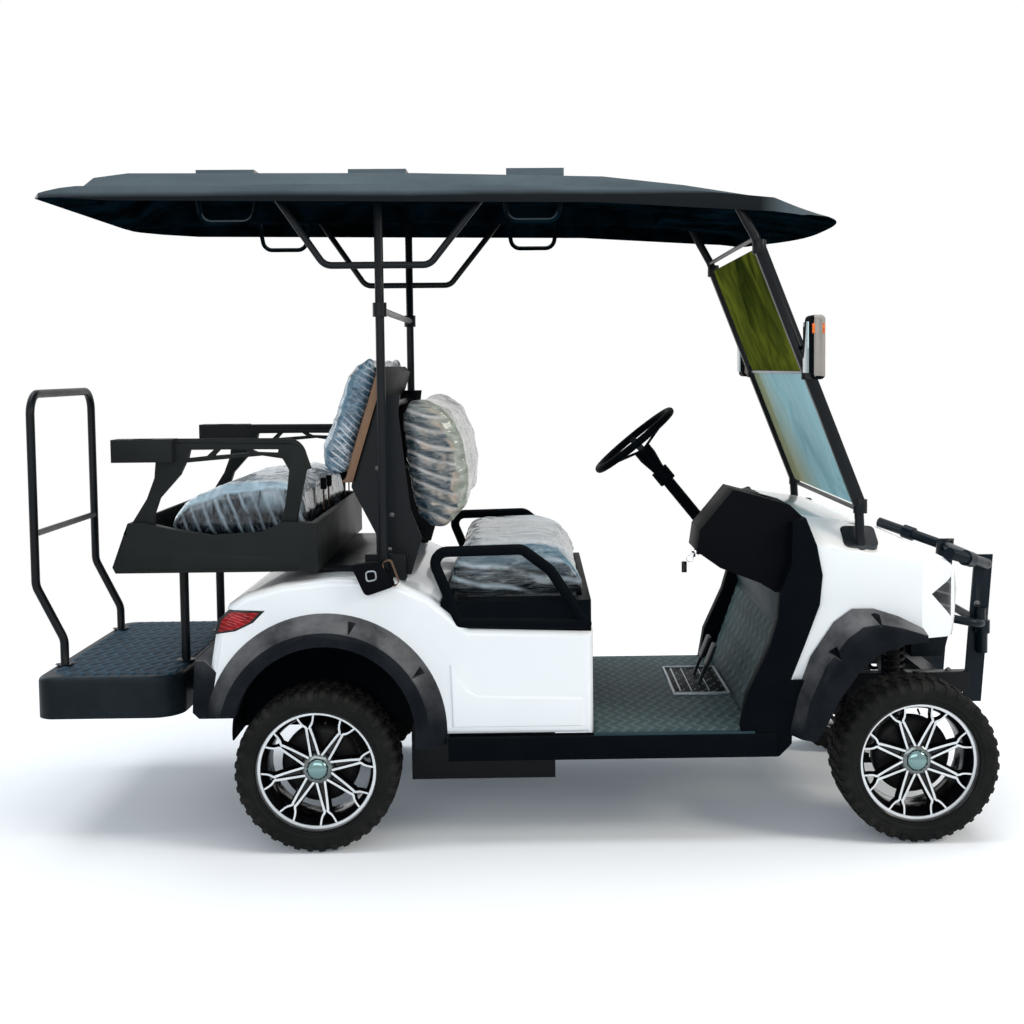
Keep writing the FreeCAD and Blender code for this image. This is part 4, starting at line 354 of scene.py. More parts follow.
@dataclass(frozen=True)
class RoofEdge(Finish):
    """The canopy's upper side: slate plastic with paler random patches, painted lit on its rim, its upward
    faces and its nose, with a painted warm highlight on the nose tip and painted shade below the rim's lit
    band.
    """

    # Heights of the rim's painted lit band, and the colour of the painted shade below it.
    low: float = 2.056
    high: float = 2.074
    dark: Colour = (0.003, 0.005, 0.007)

    def wire(self, shader: Shader) -> bpy.types.Material:
        """Wires the rim."""
        x, _, z = shader.axes()
        cloud = shader.noise(5.0, 5.0, 0.6, shader.stretched((0.5, 1.0, 2.0)))
        fine = shader.noise(500.0, 3.0, 0.55)
        tone = shader.mix(cloud.within(0.35, 0.7) * 0.6, self.colour, tuple(c * 1.7 for c in self.colour))
        # Painted warm highlight on the nose tip.
        tone = shader.mix(x.within(0.90, 1.06) * cloud.within(0.3, 0.5) * 0.6, tone, (0.28, 0.27, 0.24))
        up = shader.up()
        # Painted light: the rim band, the upward faces and the nose are lit, and the rest takes the painted
        # shade colour.
        lit = (z + (cloud - 0.5) * 0.01).within(self.low, self.high).highest(up.within(0.15, 0.5))
        lit = lit.highest(x.within(0.76, 0.84))
        tone = shader.mix(lit, self.dark, tone)
        return shader.finish({"Base Color": tone, "Roughness": 0.42 + cloud * 0.2, "Specular IOR Level": 0.1,
                              "Normal": shader.bump(fine, 0.25, 0.0005)})


@dataclass(frozen=True)
class CoatedSteel(Finish):
    """Powder-coated tube and plate: satin black with a fine orange peel."""

    rough: float = 0.36

    def wire(self, shader: Shader) -> bpy.types.Material:
        """Wires the coating."""
        peel = shader.noise(520.0, 3.0, 0.55)
        cloud = shader.noise(9.0, 4.0, 0.6)
        scuff = shader.noise(60.0, 6.0, 0.7, shader.stretched((1.0, 1.0, 0.3)))
        tone = shader.mix(scuff.within(0.66, 0.8) * 0.4, self.colour,
                          tuple(c * 3 + 0.02 for c in self.colour))
        return shader.finish({"Base Color": tone, "Roughness": self.rough + (cloud - 0.5) * 0.2,
                              "Specular IOR Level": 0.12, "Coat Weight": 0.04, "Coat Roughness": 0.2,
                              "Normal": shader.bump(peel, 0.25, 0.0004)})


@dataclass(frozen=True)
class Rubber(Finish):
    """Tyre rubber: dark grey, dusty in the tread, with fine mould lines."""

    dusty: float = 0.5

    def wire(self, shader: Shader) -> bpy.types.Material:
        """Wires the rubber."""
        dust = shader.noise(14.0, 6.0, 0.65)
        speck = shader.noise(240.0, 3.0, 0.6)
        share = dust.within(0.42, 0.75) * self.dusty
        tone = shader.mix(share, self.colour, (0.030, 0.028, 0.025))
        normal = shader.bump(speck * 0.6 + dust * 0.4, 0.3, 0.0008)
        return shader.finish({"Base Color": tone, "Roughness": 0.62 + speck * 0.2, "Specular IOR Level": 0.1,
                              "Normal": normal})


@dataclass(frozen=True)
class GlossBlack(Finish):
    """Deep gloss lacquer, as on the rims' recesses and lamp bodies."""

    rough: float = 0.12

    def wire(self, shader: Shader) -> bpy.types.Material:
        """Wires the lacquer."""
        cloud = shader.noise(18.0, 4.0, 0.6)
        peel = shader.noise(380.0, 2.0, 0.5)
        tone = shader.mix(cloud.within(0.5, 0.9) * 0.4, self.colour, tuple(c + 0.015 for c in self.colour))
        return shader.finish({"Base Color": tone, "Roughness": self.rough + cloud * 0.08, "Coat Weight": 0.1,
                              "Coat Roughness": 0.05, "Specular IOR Level": 0.25,
                              "Normal": shader.bump(peel, 0.08, 0.0003)})


@dataclass(frozen=True)
class Machined(Finish):
    """Bright turned aluminium with fine tool lines."""

    lines: Point = (40.0, 900.0, 40.0)
    rough: float = 0.4

    def wire(self, shader: Shader) -> bpy.types.Material:
        """Wires the metal."""
        lines = shader.noise(1.0, 2.0, 0.6, shader.stretched(self.lines))
        cloud = shader.noise(25.0, 3.0, 0.6)
        tone = shader.mix(cloud.within(0.4, 0.7) * 0.5, self.colour, tuple(c * 0.75 for c in self.colour))
        return shader.finish({"Base Color": tone, "Metallic": 0.96, "Roughness": self.rough + lines * 0.16,
                              "Normal": shader.bump(lines, 0.1, 0.0003)})


@dataclass(frozen=True)
class Chrome(Finish):
    """Polished chrome with a faint haze."""

    def wire(self, shader: Shader) -> bpy.types.Material:
        """Wires the chrome."""
        haze = shader.noise(30.0, 4.0, 0.6)
        return shader.finish({"Base Color": self.colour, "Metallic": 1.0, "Roughness": 0.04 + haze * 0.08,
                              "Normal": shader.bump(haze, 0.05, 0.0005)})


@dataclass(frozen=True)
class WrappedVinyl(Finish):
    """Dark stitched vinyl under a crumpled clear protective wrapping.

    The face that people lean or sit on is paler: a painted reflection of the sky in the wrapping, broken by
    darker painted streaks. On the flanks the wrapping is gathered; the valleys between the gathers, the fold
    lines and the upper flanks carry painted highlights, and the edge beside the face carries painted light.
    """

    # Painted sky reflection on the face.
    face: Colour = (0.5, 0.5, 0.5)
    facing: Point = (1.0, 0.0, 0.0)
    # Painted highlights in the gathers and along the fold lines.
    fold_highlight: Colour = (0.6, 0.6, 0.6)
    # Painted light on the edge beside the face.
    corner: Colour = (0.5, 0.5, 0.5)
    gather: Point = (0.0, 0.0, 1.0)
    pitch: float = 0.045
    streak: Point = (7.0, 5.0, 30.0)
    raised: Flat = (0.8, 2.5)
    # Heights at which the upper flanks take the painted reflection.
    band: Flat = (0.20, 0.55)
    crinkle: float = 0.4

    def wire(self, shader: Shader) -> bpy.types.Material:
        """Wires the wrapped vinyl."""
        along = shader.stretched(self.streak)
        towards = self.dot(shader, shader.facing(), self.facing)
        _, _, z = shader.axes()
        cloud = shader.noise(6.0, 4.0, 0.55)
        warp = self.dot(shader, shader.place(), (31.0, 17.0, 9.0)).sine() * 0.006 + (cloud - 0.5) * 0.03
        run = self.dot(shader, shader.place(), self.gather)
        wave = abs(((run + warp) * (math.pi / self.pitch)).sine())
        broad = shader.noise(1.0, 3.0, 0.5, along, 0.8)
        fine = shader.noise(2.3, 3.0, 0.55, along, 1.4)
        lines = (1 - abs(broad - 0.5) * 16).within(0.0, 1.0)
        threads = (1 - abs(fine - 0.5) * 15).within(0.0, 1.0)
        share = (towards + (cloud - 0.5) * 0.3).within(*self.band)
        # Painted reflection on the upper flanks, and painted highlights in the valleys between the gathers.
        raised = z.within(*self.raised) * 0.75 * broad.within(0.38, 0.56)
        flank = shader.mix(raised, self.colour, self.face)
        flank = shader.mix((1 - wave).within(0.40, 0.95) * cloud.within(0.30, 0.5) * 0.9, flank, self.fold_highlight)
        # Painted sky reflection on the face, with darker painted streaks.
        sky_reflection = shader.mix(cloud.within(0.36, 0.66) * 0.6, self.face, tuple(c * 0.6 for c in self.face))
        sky_reflection = shader.mix(broad.within(0.44, 0.68) * 0.6, sky_reflection, tuple(c * 0.35 for c in self.face))
        tone = shader.mix(share, flank, sky_reflection)
        # Painted light on the edge beside the face.
        rim = towards.within(self.band[0] - 0.25, self.band[0]) * (1 - share)
        tone = shader.mix(rim * broad.within(0.42, 0.6) * 0.8, tone, self.corner)
        # Painted highlights along the fold lines.
        folds = lines * cloud.within(0.42, 0.62) * self.crinkle + threads * 0.35 * self.crinkle
        tone = shader.mix(folds, tone, self.fold_highlight)
        height = (1 - wave) * 0.5 + lines * 0.35 + threads * 0.2
        return shader.finish({"Base Color": tone, "Roughness": 0.18 + cloud * 0.16, "Coat Weight": 0.45,
                              "Coat Roughness": 0.06, "Specular IOR Level": 0.2,
                              "Normal": shader.bump(height, 0.55, 0.004)})

    def dot(self, shader: Shader, vector: Wire, way: Point) -> Wire:
        """Gives how much a direction points one way."""
        return shader.node("ShaderNodeVectorMath", {"operation": "DOT_PRODUCT"}, {0: vector, 1: way},
                           out="Value")


@dataclass(frozen=True)
class TintedPane(Finish):
    """Tinted windscreen sheet whose colour carries painted reflections: soft mottles of painted reflection,
    browner towards its far side.
    """

    # Colours of the painted reflections: bright patches, dark patches and the far side.
    spot: Colour = (0.16, 0.14, 0.03)
    shade: Colour = (0.02, 0.03, 0.01)
    far: Colour = (0.20, 0.17, 0.05)
    cover: float = 0.8
    split: Flat = (0.0, 0.4)

    def wire(self, shader: Shader) -> bpy.types.Material:
        """Wires the sheet."""
        _, y, z = shader.axes()
        cloud = shader.noise(4.0, 4.0, 0.6, shader.stretched((1.0, 1.0, 0.6)), 1.0)
        mottle = shader.noise(9.0, 3.0, 0.55, shader.stretched((1.0, 1.0, 0.7)), 0.8)
        # Painted reflections: bright and dark mottles, and a browner far side.
        tone = shader.mix(mottle.within(0.45, 0.62) * 0.75, self.colour, self.spot)
        tone = shader.mix((1 - cloud).within(0.48, 0.64) * 0.85, tone, self.shade)
        beyond = (y - z * 0.5 + (cloud - 0.5) * 0.4 + 0.6).within(*self.split)
        tone = shader.mix(beyond * 0.85, tone, self.far)
        smear = shader.noise(40.0, 3.0, 0.6)
        return shader.finish({"Base Color": tone, "Roughness": 0.25 + smear * 0.10,
                              "Alpha": self.cover + mottle * 0.08, "Specular IOR Level": 0.0})


@dataclass(frozen=True)
class LampLens(Finish):
    """Coloured lens over a ribbed reflector, with painted glints along the ribs."""

    rib: float = 180.0
    glow: float = 0.0
    rib_glint: Colour = (0.8, 0.5, 0.5)

    def wire(self, shader: Shader) -> bpy.types.Material:
        """Wires the lens."""
        x, _, z = shader.axes()
        ribs = ((x * 0.35 + z) * self.rib).sine() * 0.5 + 0.5
        depth = shader.noise(30.0, 3.0, 0.5)
        tone = shader.mix(depth.within(0.3, 0.7) * 0.8, tuple(c * 0.3 for c in self.colour), self.colour)
        # Painted glints along the ribs.
        tone = shader.mix(ribs.within(0.86, 0.98) * 0.5, tone, self.rib_glint)
        return shader.finish({"Base Color": tone, "Roughness": 0.08 + depth * 0.05, "Coat Weight": 0.12,
                              "Coat Roughness": 0.06, "Specular IOR Level": 0.15,
                              "Emission Color": tone, "Emission Strength": self.glow,
                              "Normal": shader.bump(ribs, 0.3, 0.001)})


@dataclass(frozen=True)
class Webbing(Finish):
    """Woven belt webbing."""

    def wire(self, shader: Shader) -> bpy.types.Material:
        """Wires the weave."""
        x, y, z = shader.axes()
        weave = ((x + z) * 2600.0).sine() * ((y + z) * 2600.0).sine()
        fuzz = shader.noise(300.0, 3.0, 0.6)
        tone = shader.mix(weave * 0.4 + fuzz * 0.4, self.colour, tuple(c * 2.4 for c in self.colour))
        return shader.finish({"Base Color": tone, "Roughness": 0.85 + fuzz * 0.1,
                              "Normal": shader.bump(weave, 0.3, 0.0005)})


@dataclass(frozen=True)
class Board(Finish):
    """Pressed board or vinyl backing, warm brown with a faint grain."""

    def wire(self, shader: Shader) -> bpy.types.Material:
        """Wires the board."""
        grain = shader.noise(10.0, 7.0, 0.65, shader.stretched((6.0, 6.0, 1.0)), 0.6)
        stain = shader.noise(5.0, 3.0, 0.5)
        tone = shader.mix(grain.within(0.35, 0.7) * 0.7 + stain * 0.2, self.colour,
                          tuple(c * 0.62 for c in self.colour))
        return shader.finish({"Base Color": tone, "Roughness": 0.42 + grain * 0.2,
                              "Normal": shader.bump(grain, 0.2, 0.0006)})


@dataclass(frozen=True)
class MatRubber(Finish):
    """Waved floor mat whose crests are rubbed paler, dusty between them."""

    crest: Colour = (0.075, 0.090, 0.088)
    pitch: float = 0.040
    bend: float = 0.012
    swing: float = 0.085

    def wire(self, shader: Shader) -> bpy.types.Material:
        """Wires the mat."""
        cloud = shader.noise(6.0, 6.0, 0.65)
        speck = shader.noise(420.0, 3.0, 0.6)
        x, y, _ = shader.axes()
        wave = ((x + (y * (math.tau / self.swing)).sine() * self.bend) * (math.tau / self.pitch)).sine()
        tone = shader.mix(cloud.within(0.35, 0.75) * 0.6, self.colour, tuple(c * 1.8 for c in self.colour))
        tone = shader.mix(wave.within(0.35, 1.0) * (0.25 + cloud * 0.5), tone, self.crest)
        return shader.finish({"Base Color": tone, "Roughness": 0.5 + speck * 0.25, "Specular IOR Level": 0.15,
                              "Normal": shader.bump(speck, 0.3, 0.0005)})


class Kit:
    """The finishes of the cart by use."""

    paint = BodyPaint("white_bodywork", (0.83, 0.87, 0.89))
    grain = GrainPlastic("grained_black", (0.0022, 0.0036, 0.0052), dusty=(0.02, 0.022, 0.024),
                         pale=(0.007, 0.009, 0.011), gloss=0.015)
    box = GrainPlastic("seat_box_black", (0.009, 0.011, 0.011), rough=0.48)
    # The flares' upward faces turn bright grey: dust and a painted sheen of light on top.
    flare = GrainPlastic("flare_black", (0.005, 0.007, 0.010), 380.0, 0.42, 0.9, (0.180, 0.180, 0.184),
                         (0.016, 0.019, 0.024), 0.04, (0.05, 0.6))
    dash = GrainPlastic("dash_black", (0.0022, 0.0026, 0.004), 460.0, 0.5, 0.2, (0.02, 0.024, 0.012),
                        (0.006, 0.006, 0.008), 0.03)
    # One canopy plastic in two painted copies: the underside in painted shade with a painted teal sheen, the
    # upper faces and rim painted lit.
    canopy = GrainPlastic("canopy_underside_painted_shade", (0.0008, 0.0015, 0.002), 300.0, 0.55, 0.9, (0.001, 0.002, 0.003),
                          (0.003, 0.016, 0.025), 0.0)
    slate = RoofEdge("canopy_top_painted_light", (0.072, 0.094, 0.106))
    deck = GrainPlastic("deck_black", (0.006, 0.010, 0.013), rough=0.42, rubbed=0.5,
                        dusty=(0.03, 0.05, 0.065))
    pan = GrainPlastic("toe_board_black", (0.016, 0.038, 0.046))
    # The canopy pads' front ends, painted in warm light.
    lit_pad_end = GrainPlastic("pad_end_painted_warm_light", (0.20, 0.18, 0.16), dusty=(0.3, 0.28, 0.25))
    foot = GrainPlastic("pillar_foot_grey", (0.050, 0.058, 0.060), dusty=(0.09, 0.1, 0.1))
    shell = GrainPlastic("mirror_shell", (0.26, 0.24, 0.22), rough=0.4, dusty=(0.4, 0.38, 0.36))
    battery = GrainPlastic("battery_case", (0.02, 0.02, 0.022))
    steel = CoatedSteel("coated_steel", (0.006, 0.008, 0.010))
    guard = CoatedSteel("guard_steel", (0.002, 0.007, 0.012), 0.3)
    axle = CoatedSteel("axle_steel", (0.010, 0.010, 0.011), 0.5)
    tread = Rubber("tread_rubber", (0.008, 0.008, 0.008), 0.7)
    wall = Rubber("sidewall_rubber", (0.006, 0.007, 0.007), 0.3)
    rim = GlossBlack("rim_black", (0.003, 0.003, 0.004))
    gloss = GlossBlack("gloss_black", (0.004, 0.004, 0.005), 0.08)
    bright = Machined("machined_face", (0.66, 0.69, 0.71), (900.0, 30.0, 900.0), 0.22)
    zinc = Machined("zinc_plate", (0.30, 0.33, 0.36))
    bolt = Machined("bolt_steel", (0.12, 0.12, 0.125))
    chrome = Chrome("chrome_cap", (0.80, 0.82, 0.83))
    # The cap's teal tint is a painted reflection of the surroundings.
    cap = Chrome("cap_chrome", (0.18, 0.28, 0.28))
    cap_base = Chrome("cap_base_chrome", (0.15, 0.17, 0.17))
    # The mirror glass's bluish tint is a painted reflection of the sky.
    mirror = Chrome("mirror_glass", (0.24, 0.31, 0.33))
    # The panes' colours are painted reflections: dark olive trees in the upper pane, pale blue sky in the
    # lower.
    pane_high = TintedPane("upper_pane", (0.095, 0.118, 0.015), spot=(0.200, 0.225, 0.026),
                           shade=(0.020, 0.034, 0.006), far=(0.080, 0.090, 0.014), cover=0.95,
                           split=(0.3, 0.8))
    pane_low = TintedPane("lower_pane", (0.44, 0.80, 0.86), spot=(0.55, 0.86, 0.92), shade=(0.24, 0.56, 0.64),
                          far=(0.40, 0.37, 0.15), cover=0.72, split=(0.05, 0.40))
    amber = LampLens("amber_marker", (0.90, 0.16, 0.01), 260.0, 0.25, (0.95, 0.3, 0.05))
    red = LampLens("red_lens", (0.34, 0.002, 0.006), 420.0, 0.10, (0.6, 0.06, 0.07))
    red_rib = LampLens("red_ribbed_lens", (0.42, 0.008, 0.014), 700.0, 0.1, (0.70, 0.22, 0.23))
    smoke = LampLens("smoked_lens", (0.05, 0.055, 0.06), 160.0, 0.0, (0.16, 0.17, 0.18))
    strap = Webbing("brown_webbing", (0.085, 0.050, 0.028))
    board = Board("seat_board", (0.17, 0.088, 0.042))
    mat = MatRubber("floor_mat", (0.038, 0.064, 0.068), (0.135, 0.205, 0.215))
    deck_mat = MatRubber("deck_mat", (0.006, 0.023, 0.040), (0.034, 0.102, 0.160))
    # The pads' pale face, fold and edge colours are painted reflections, highlights and light; their dark
    # base is the vinyl.
    front_pad = WrappedVinyl(
        "wrapped_front", (0.016, 0.036, 0.050), face=(0.38, 0.42, 0.36), facing=(0.9, 0.0, 0.30),
        fold_highlight=(0.52, 0.51, 0.49), corner=(0.44, 0.36, 0.28), gather=(0.30, 0.0, 1.0), pitch=0.046,
        streak=(7.0, 5.0, 26.0), raised=(1.28, 1.50), band=(0.20, 0.50), crinkle=0.45)
    bench_pad = WrappedVinyl(
        "wrapped_bench", (0.004, 0.008, 0.011), face=(0.15, 0.26, 0.33), facing=(0.15, 0.0, 1.0),
        fold_highlight=(0.50, 0.60, 0.66), corner=(0.24, 0.28, 0.30), gather=(0.20, 0.05, 1.0), pitch=0.060,
        streak=(4.0, 6.0, 34.0), raised=(0.84, 0.93), band=(0.25, 0.60))
    rear_pad = WrappedVinyl(
        "wrapped_rear", (0.020, 0.066, 0.110), face=(0.09, 0.21, 0.30), facing=(-1.0, 0.0, 0.25),
        fold_highlight=(0.62, 0.66, 0.70), corner=(0.14, 0.26, 0.36), gather=(0.75, 0.0, 0.9), pitch=0.022,
        streak=(16.0, 5.0, 24.0), raised=(1.1, 2.6), band=(0.15, 0.60), crinkle=0.55)
    rear_bench_pad = WrappedVinyl(
        "wrapped_rear_bench", (0.003, 0.005, 0.008), face=(0.58, 0.78, 0.90), facing=(-0.15, 0.0, 1.0),
        fold_highlight=(0.34, 0.43, 0.50), corner=(0.25, 0.27, 0.30), gather=(1.0, 0.0, 0.35), pitch=0.042,
        streak=(18.0, 6.0, 6.0), raised=(1.06, 1.16), band=(0.30, 0.70))


class Skin:
    """A mesh under construction: its points, faces and the finish number of each face."""

    def __init__(self) -> None:
        """Starts empty."""
        self.points: list[Vector] = []
        self.faces: list[tuple[int, ...]] = []
        self.looks: list[int] = []

    def add(self, points: Iterable[Sequence[float]], faces: Iterable[Sequence[int]], look: int = 0) -> "Skin":
        """Adds points and faces that count from the first of them.

        Args:
            points: The new points.
            faces: Faces as numbers of those points.
            look: The finish number.

        Returns:
            This skin.
        """
        base = len(self.points)
        self.points.extend(Vector(p) for p in points)
        for face in faces:
            self.faces.append(tuple(base + i for i in face))
            self.looks.append(look)
        return self

    def join(self, other: "Skin", matrix: Matrix | None = None) -> "Skin":
        """Adds a copy of another skin.

        Args:
            other: The skin to copy.
            matrix: Where it goes.

        Returns:
            This skin.
        """
        base = len(self.points)
        move = matrix or Matrix()
        self.points.extend(move @ p for p in other.points)
        flip = move.determinant() < 0
        for face, look in zip(other.faces, other.looks):
            self.faces.append(tuple(base + i for i in (reversed(face) if flip else face)))
            self.looks.append(look)
        return self

    def rows(self, rows: Sequence[Sequence[Sequence[float]]], ring: bool = False, loop: bool = False,
             look: int = 0, caps: bool = False) -> "Skin":
        """Adds a sheet of quads through rows of points.

        Args:
            rows: Rows of equal length.
            ring: Whether each row closes on itself.
            loop: Whether the last row joins the first.
            look: The finish number.
            caps: Whether the first and last rows are filled.

        Returns:
            This skin.
        """
        count, width = len(rows), len(rows[0])
        faces = []
        for i in range(count if loop else count - 1):
            for j in range(width if ring else width - 1):
                a, b = i * width + j, i * width + (j + 1) % width
                c, d = ((i + 1) % count) * width + (j + 1) % width, ((i + 1) % count) * width + j
                faces.append((a, b, c, d))
        if caps:
            faces.append(tuple(reversed(range(width))))
            faces.append(tuple((count - 1) * width + j for j in range(width)))
        return self.add([p for row in rows for p in row], faces, look)

    def lathe(self, profile: Sequence[Flat], steps: int, look: int = 0) -> "Skin":
        """Turns a profile of radius and width about the Y axis.

        Args:
            profile: Pairs of radius and y.
            steps: How many steps round.
            look: The finish number.

        Returns:
            This skin.
        """
        rows = []
        for i in range(steps):
            a = math.tau * i / steps
            rows.append([(r * math.sin(a), y, r * math.cos(a)) for r, y in profile])
        return self.rows(rows, loop=True, look=look)

    def slab(self, outline: Sequence[Flat], y_from: float, y_to: float, look: int = 0) -> "Skin":
        """Adds a prism of an outline in X and Z between two widths."""
        rows = [[(x, y, z) for x, z in outline] for y in (y_from, y_to)]
        return self.rows(rows, ring=True, look=look, caps=True)

    def plate(self, outline: Sequence[Flat], low: float, high: float, look: int = 0) -> "Skin":
        """Adds a prism of an outline in X and Y between two heights."""
        rows = [[(x, y, z) for x, y in outline] for z in (low, high)]
        return self.rows(rows, ring=True, look=look, caps=True)

    def block(self, low: Sequence[float], high: Sequence[float], look: int = 0) -> "Skin":
        """Adds a box between two corners."""
        return self.plate([(low[0], low[1]), (high[0], low[1]), (high[0], high[1]), (low[0], high[1])],
                          low[2], high[2], look)

    def tube(self, path: Sequence[Sequence[float]], radius: float, sides: int = 16, look: int = 0,
             closed: bool = False) -> "Skin":
        """Sweeps a round section along a path.

        Args:
            path: The points of the middle line.
            radius: The tube's radius.
            sides: Faces round it.
            look: The finish number.
            closed: Whether the path closes on itself.

        Returns:
            This skin.
        """
        spine = [Vector(p) for p in path]
        count = len(spine)
        rows = []
        side = None
        for i, point in enumerate(spine):
            ahead = spine[(i + 1) % count] if closed or i + 1 < count else point
            behind = spine[i - 1] if closed or i > 0 else point
            along = (ahead - behind).normalized()
            if side is None:
                side = along.orthogonal().normalized()
            side = (side - along * side.dot(along)).normalized()
            other = along.cross(side)
            rows.append([point + (side * math.cos(a) + other * math.sin(a)) * radius
                         for a in (math.tau * k / sides for k in range(sides))])
        return self.rows(rows, ring=True, loop=closed, look=look, caps=not closed)

    def dome(self, centre: Sequence[float], axis: Sequence[float], radius: float, height: float,
             sides: int = 12, rings: int = 4, look: int = 0) -> "Skin":
        """Adds a low dome, such as a bolt head or a cap.

        Args:
            centre: The middle of its base.
            axis: The way it points.
            radius: The base's radius.
            height: The dome's height.
            sides: Faces round it.
            rings: Rings from base to tip.
            look: The finish number.

        Returns:
            This skin.
        """
        up = Vector(axis).normalized()
        side = up.orthogonal().normalized()
        other = up.cross(side)
        rows = []
        for k in range(rings):
            t = math.pi / 2 * k / rings
            rows.append([Vector(centre) + up * (height * math.sin(t)) +
                         (side * math.cos(a) + other * math.sin(a)) * (radius * math.cos(t))
                         for a in (math.tau * j / sides for j in range(sides))])
        self.rows(rows, ring=True, look=look)
        base = len(self.points) - sides
        self.points.append(Vector(centre) + up * height)
        for j in range(sides):
            self.faces.append((base + j, base + (j + 1) % sides, base + sides))
            self.looks.append(look)
        return self

    def mesh(self, name: str, bevel: float = 0.0, sharp_deg: float = 30.0, steps: int = 2) -> bpy.types.Mesh:
        """Makes the mesh.

        Args:
            name: Its name.
            bevel: Width of a bevel along its sharp edges, or zero.
            sharp_deg: The angle above which an edge is sharp.
            steps: Segments of the bevel.

        Returns:
            The mesh, with outward normals.
        """
        made = bpy.data.meshes.new(name)
        made.from_pydata(self.points, [], self.faces)
        made.polygons.foreach_set("material_index", self.looks)
        tidy(made, bevel, sharp_deg, steps)
        return made

    def show(self, name: str, finish: "Finish", slot: Slot, bevel: float = 0.0,
             sharp_deg: float = 30.0) -> bpy.types.Object:
        """Shows this skin as a piece of the cart's own body."""
        return show(name, self.mesh(name, bevel, sharp_deg), Body.CART, [finish])


def tidy(mesh: bpy.types.Mesh, bevel: float, sharp_deg: float, steps: int) -> None:
    """Joins double points, turns normals outwards and rounds the sharp edges.

    Args:
        mesh: The mesh, changed in place.
        bevel: Width of the bevel, or zero.
        sharp_deg: The angle above which an edge is sharp.
        steps: Segments of the bevel.
    """
    work = bmesh.new()
    work.from_mesh(mesh)
    bmesh.ops.remove_doubles(work, verts=work.verts, dist=MERGE)
    bmesh.ops.recalc_face_normals(work, faces=work.faces)
    if bevel > 0:
        limit = math.radians(sharp_deg)
        edges = [e for e in work.edges if len(e.link_faces) == 2 and e.calc_face_angle(0.0) > limit]
        bmesh.ops.bevel(work, geom=edges, offset=bevel, segments=steps, profile=ARC, affect="EDGES",
                        clamp_overlap=True)
    work.to_mesh(mesh)
    work.free()
    mesh.set_sharp_from_angle(angle=math.radians(MADE_CREASE_DEG))
    for face in mesh.polygons:
        face.use_smooth = True


def scaled(outline: Sequence[Flat], size: float, rise: float = 0.0) -> list[Flat]:
    """Scales an outline about the middle of its corners and lifts it.

    Args:
        outline: Its corners.
        size: The scale.
        rise: How far it is lifted.

    Returns:
        The new corners.
    """
    count = len(outline)
    middle = (sum(p[0] for p in outline) / count, sum(p[1] for p in outline) / count)
    return [(middle[0] + (s - middle[0]) * size, middle[1] + rise + (t - middle[1]) * size)
            for s, t in outline]


def span(sign: int, near: float, far: float) -> list[float]:
    """Gives the lower and the upper width of a span on one side of the cart."""
    return sorted((sign * near, sign * far))


def rounded(path: Sequence[Sequence[float]], bend: float, steps: int = 7,
            closed: bool = False) -> list[Vector]:
    """Rounds the corners of a path.

    Args:
        path: Its corners.
        bend: How far from a corner the bend starts.
        steps: Points in each bend.
        closed: Whether the path closes on itself.

    Returns:
        The points of the rounded path.
    """
    points = [Vector(p) for p in path]
    count = len(points)
    made: list[Vector] = []
    for i, corner in enumerate(points):
        if not closed and i in (0, count - 1):
            made.append(corner)
            continue
        before, after = points[i - 1], points[(i + 1) % count]
        reach = min(bend, (before - corner).length * BEND_SHARE, (after - corner).length * BEND_SHARE)
        start = corner + (before - corner).normalized() * reach
        end = corner + (after - corner).normalized() * reach
        for k in range(steps + 1):
            t = k / steps
            made.append(start * (1 - t) ** 2 + corner * 2 * t * (1 - t) + end * t * t)
    return made


def show(name: str, mesh: bpy.types.Mesh, body: Body, finishes: Sequence[Finish],
         replaces: Sequence[str] = ()) -> bpy.types.Object:
    """Puts a mesh in the scene as a piece of the cart.

    Args:
        name: The piece's name.
        mesh: Its mesh.
        body: The body that it rides on.
        finishes: Its finishes, by the numbers of its faces.
        replaces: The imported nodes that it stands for.

    Returns:
        The object.
    """
    piece = bpy.data.objects.new(name, mesh)
    bpy.context.scene.collection.objects.link(piece)
    looks = [min(face.material_index, len(finishes) - 1) for face in mesh.polygons]
    mesh.materials.clear()
    for finish in finishes:
        mesh.materials.append(finish.material())
    mesh.polygons.foreach_set("material_index", looks)
    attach(piece, body.value)
    if replaces:
        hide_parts(*replaces)
    log.info("%s: %d faces", name, len(mesh.polygons))
    return piece


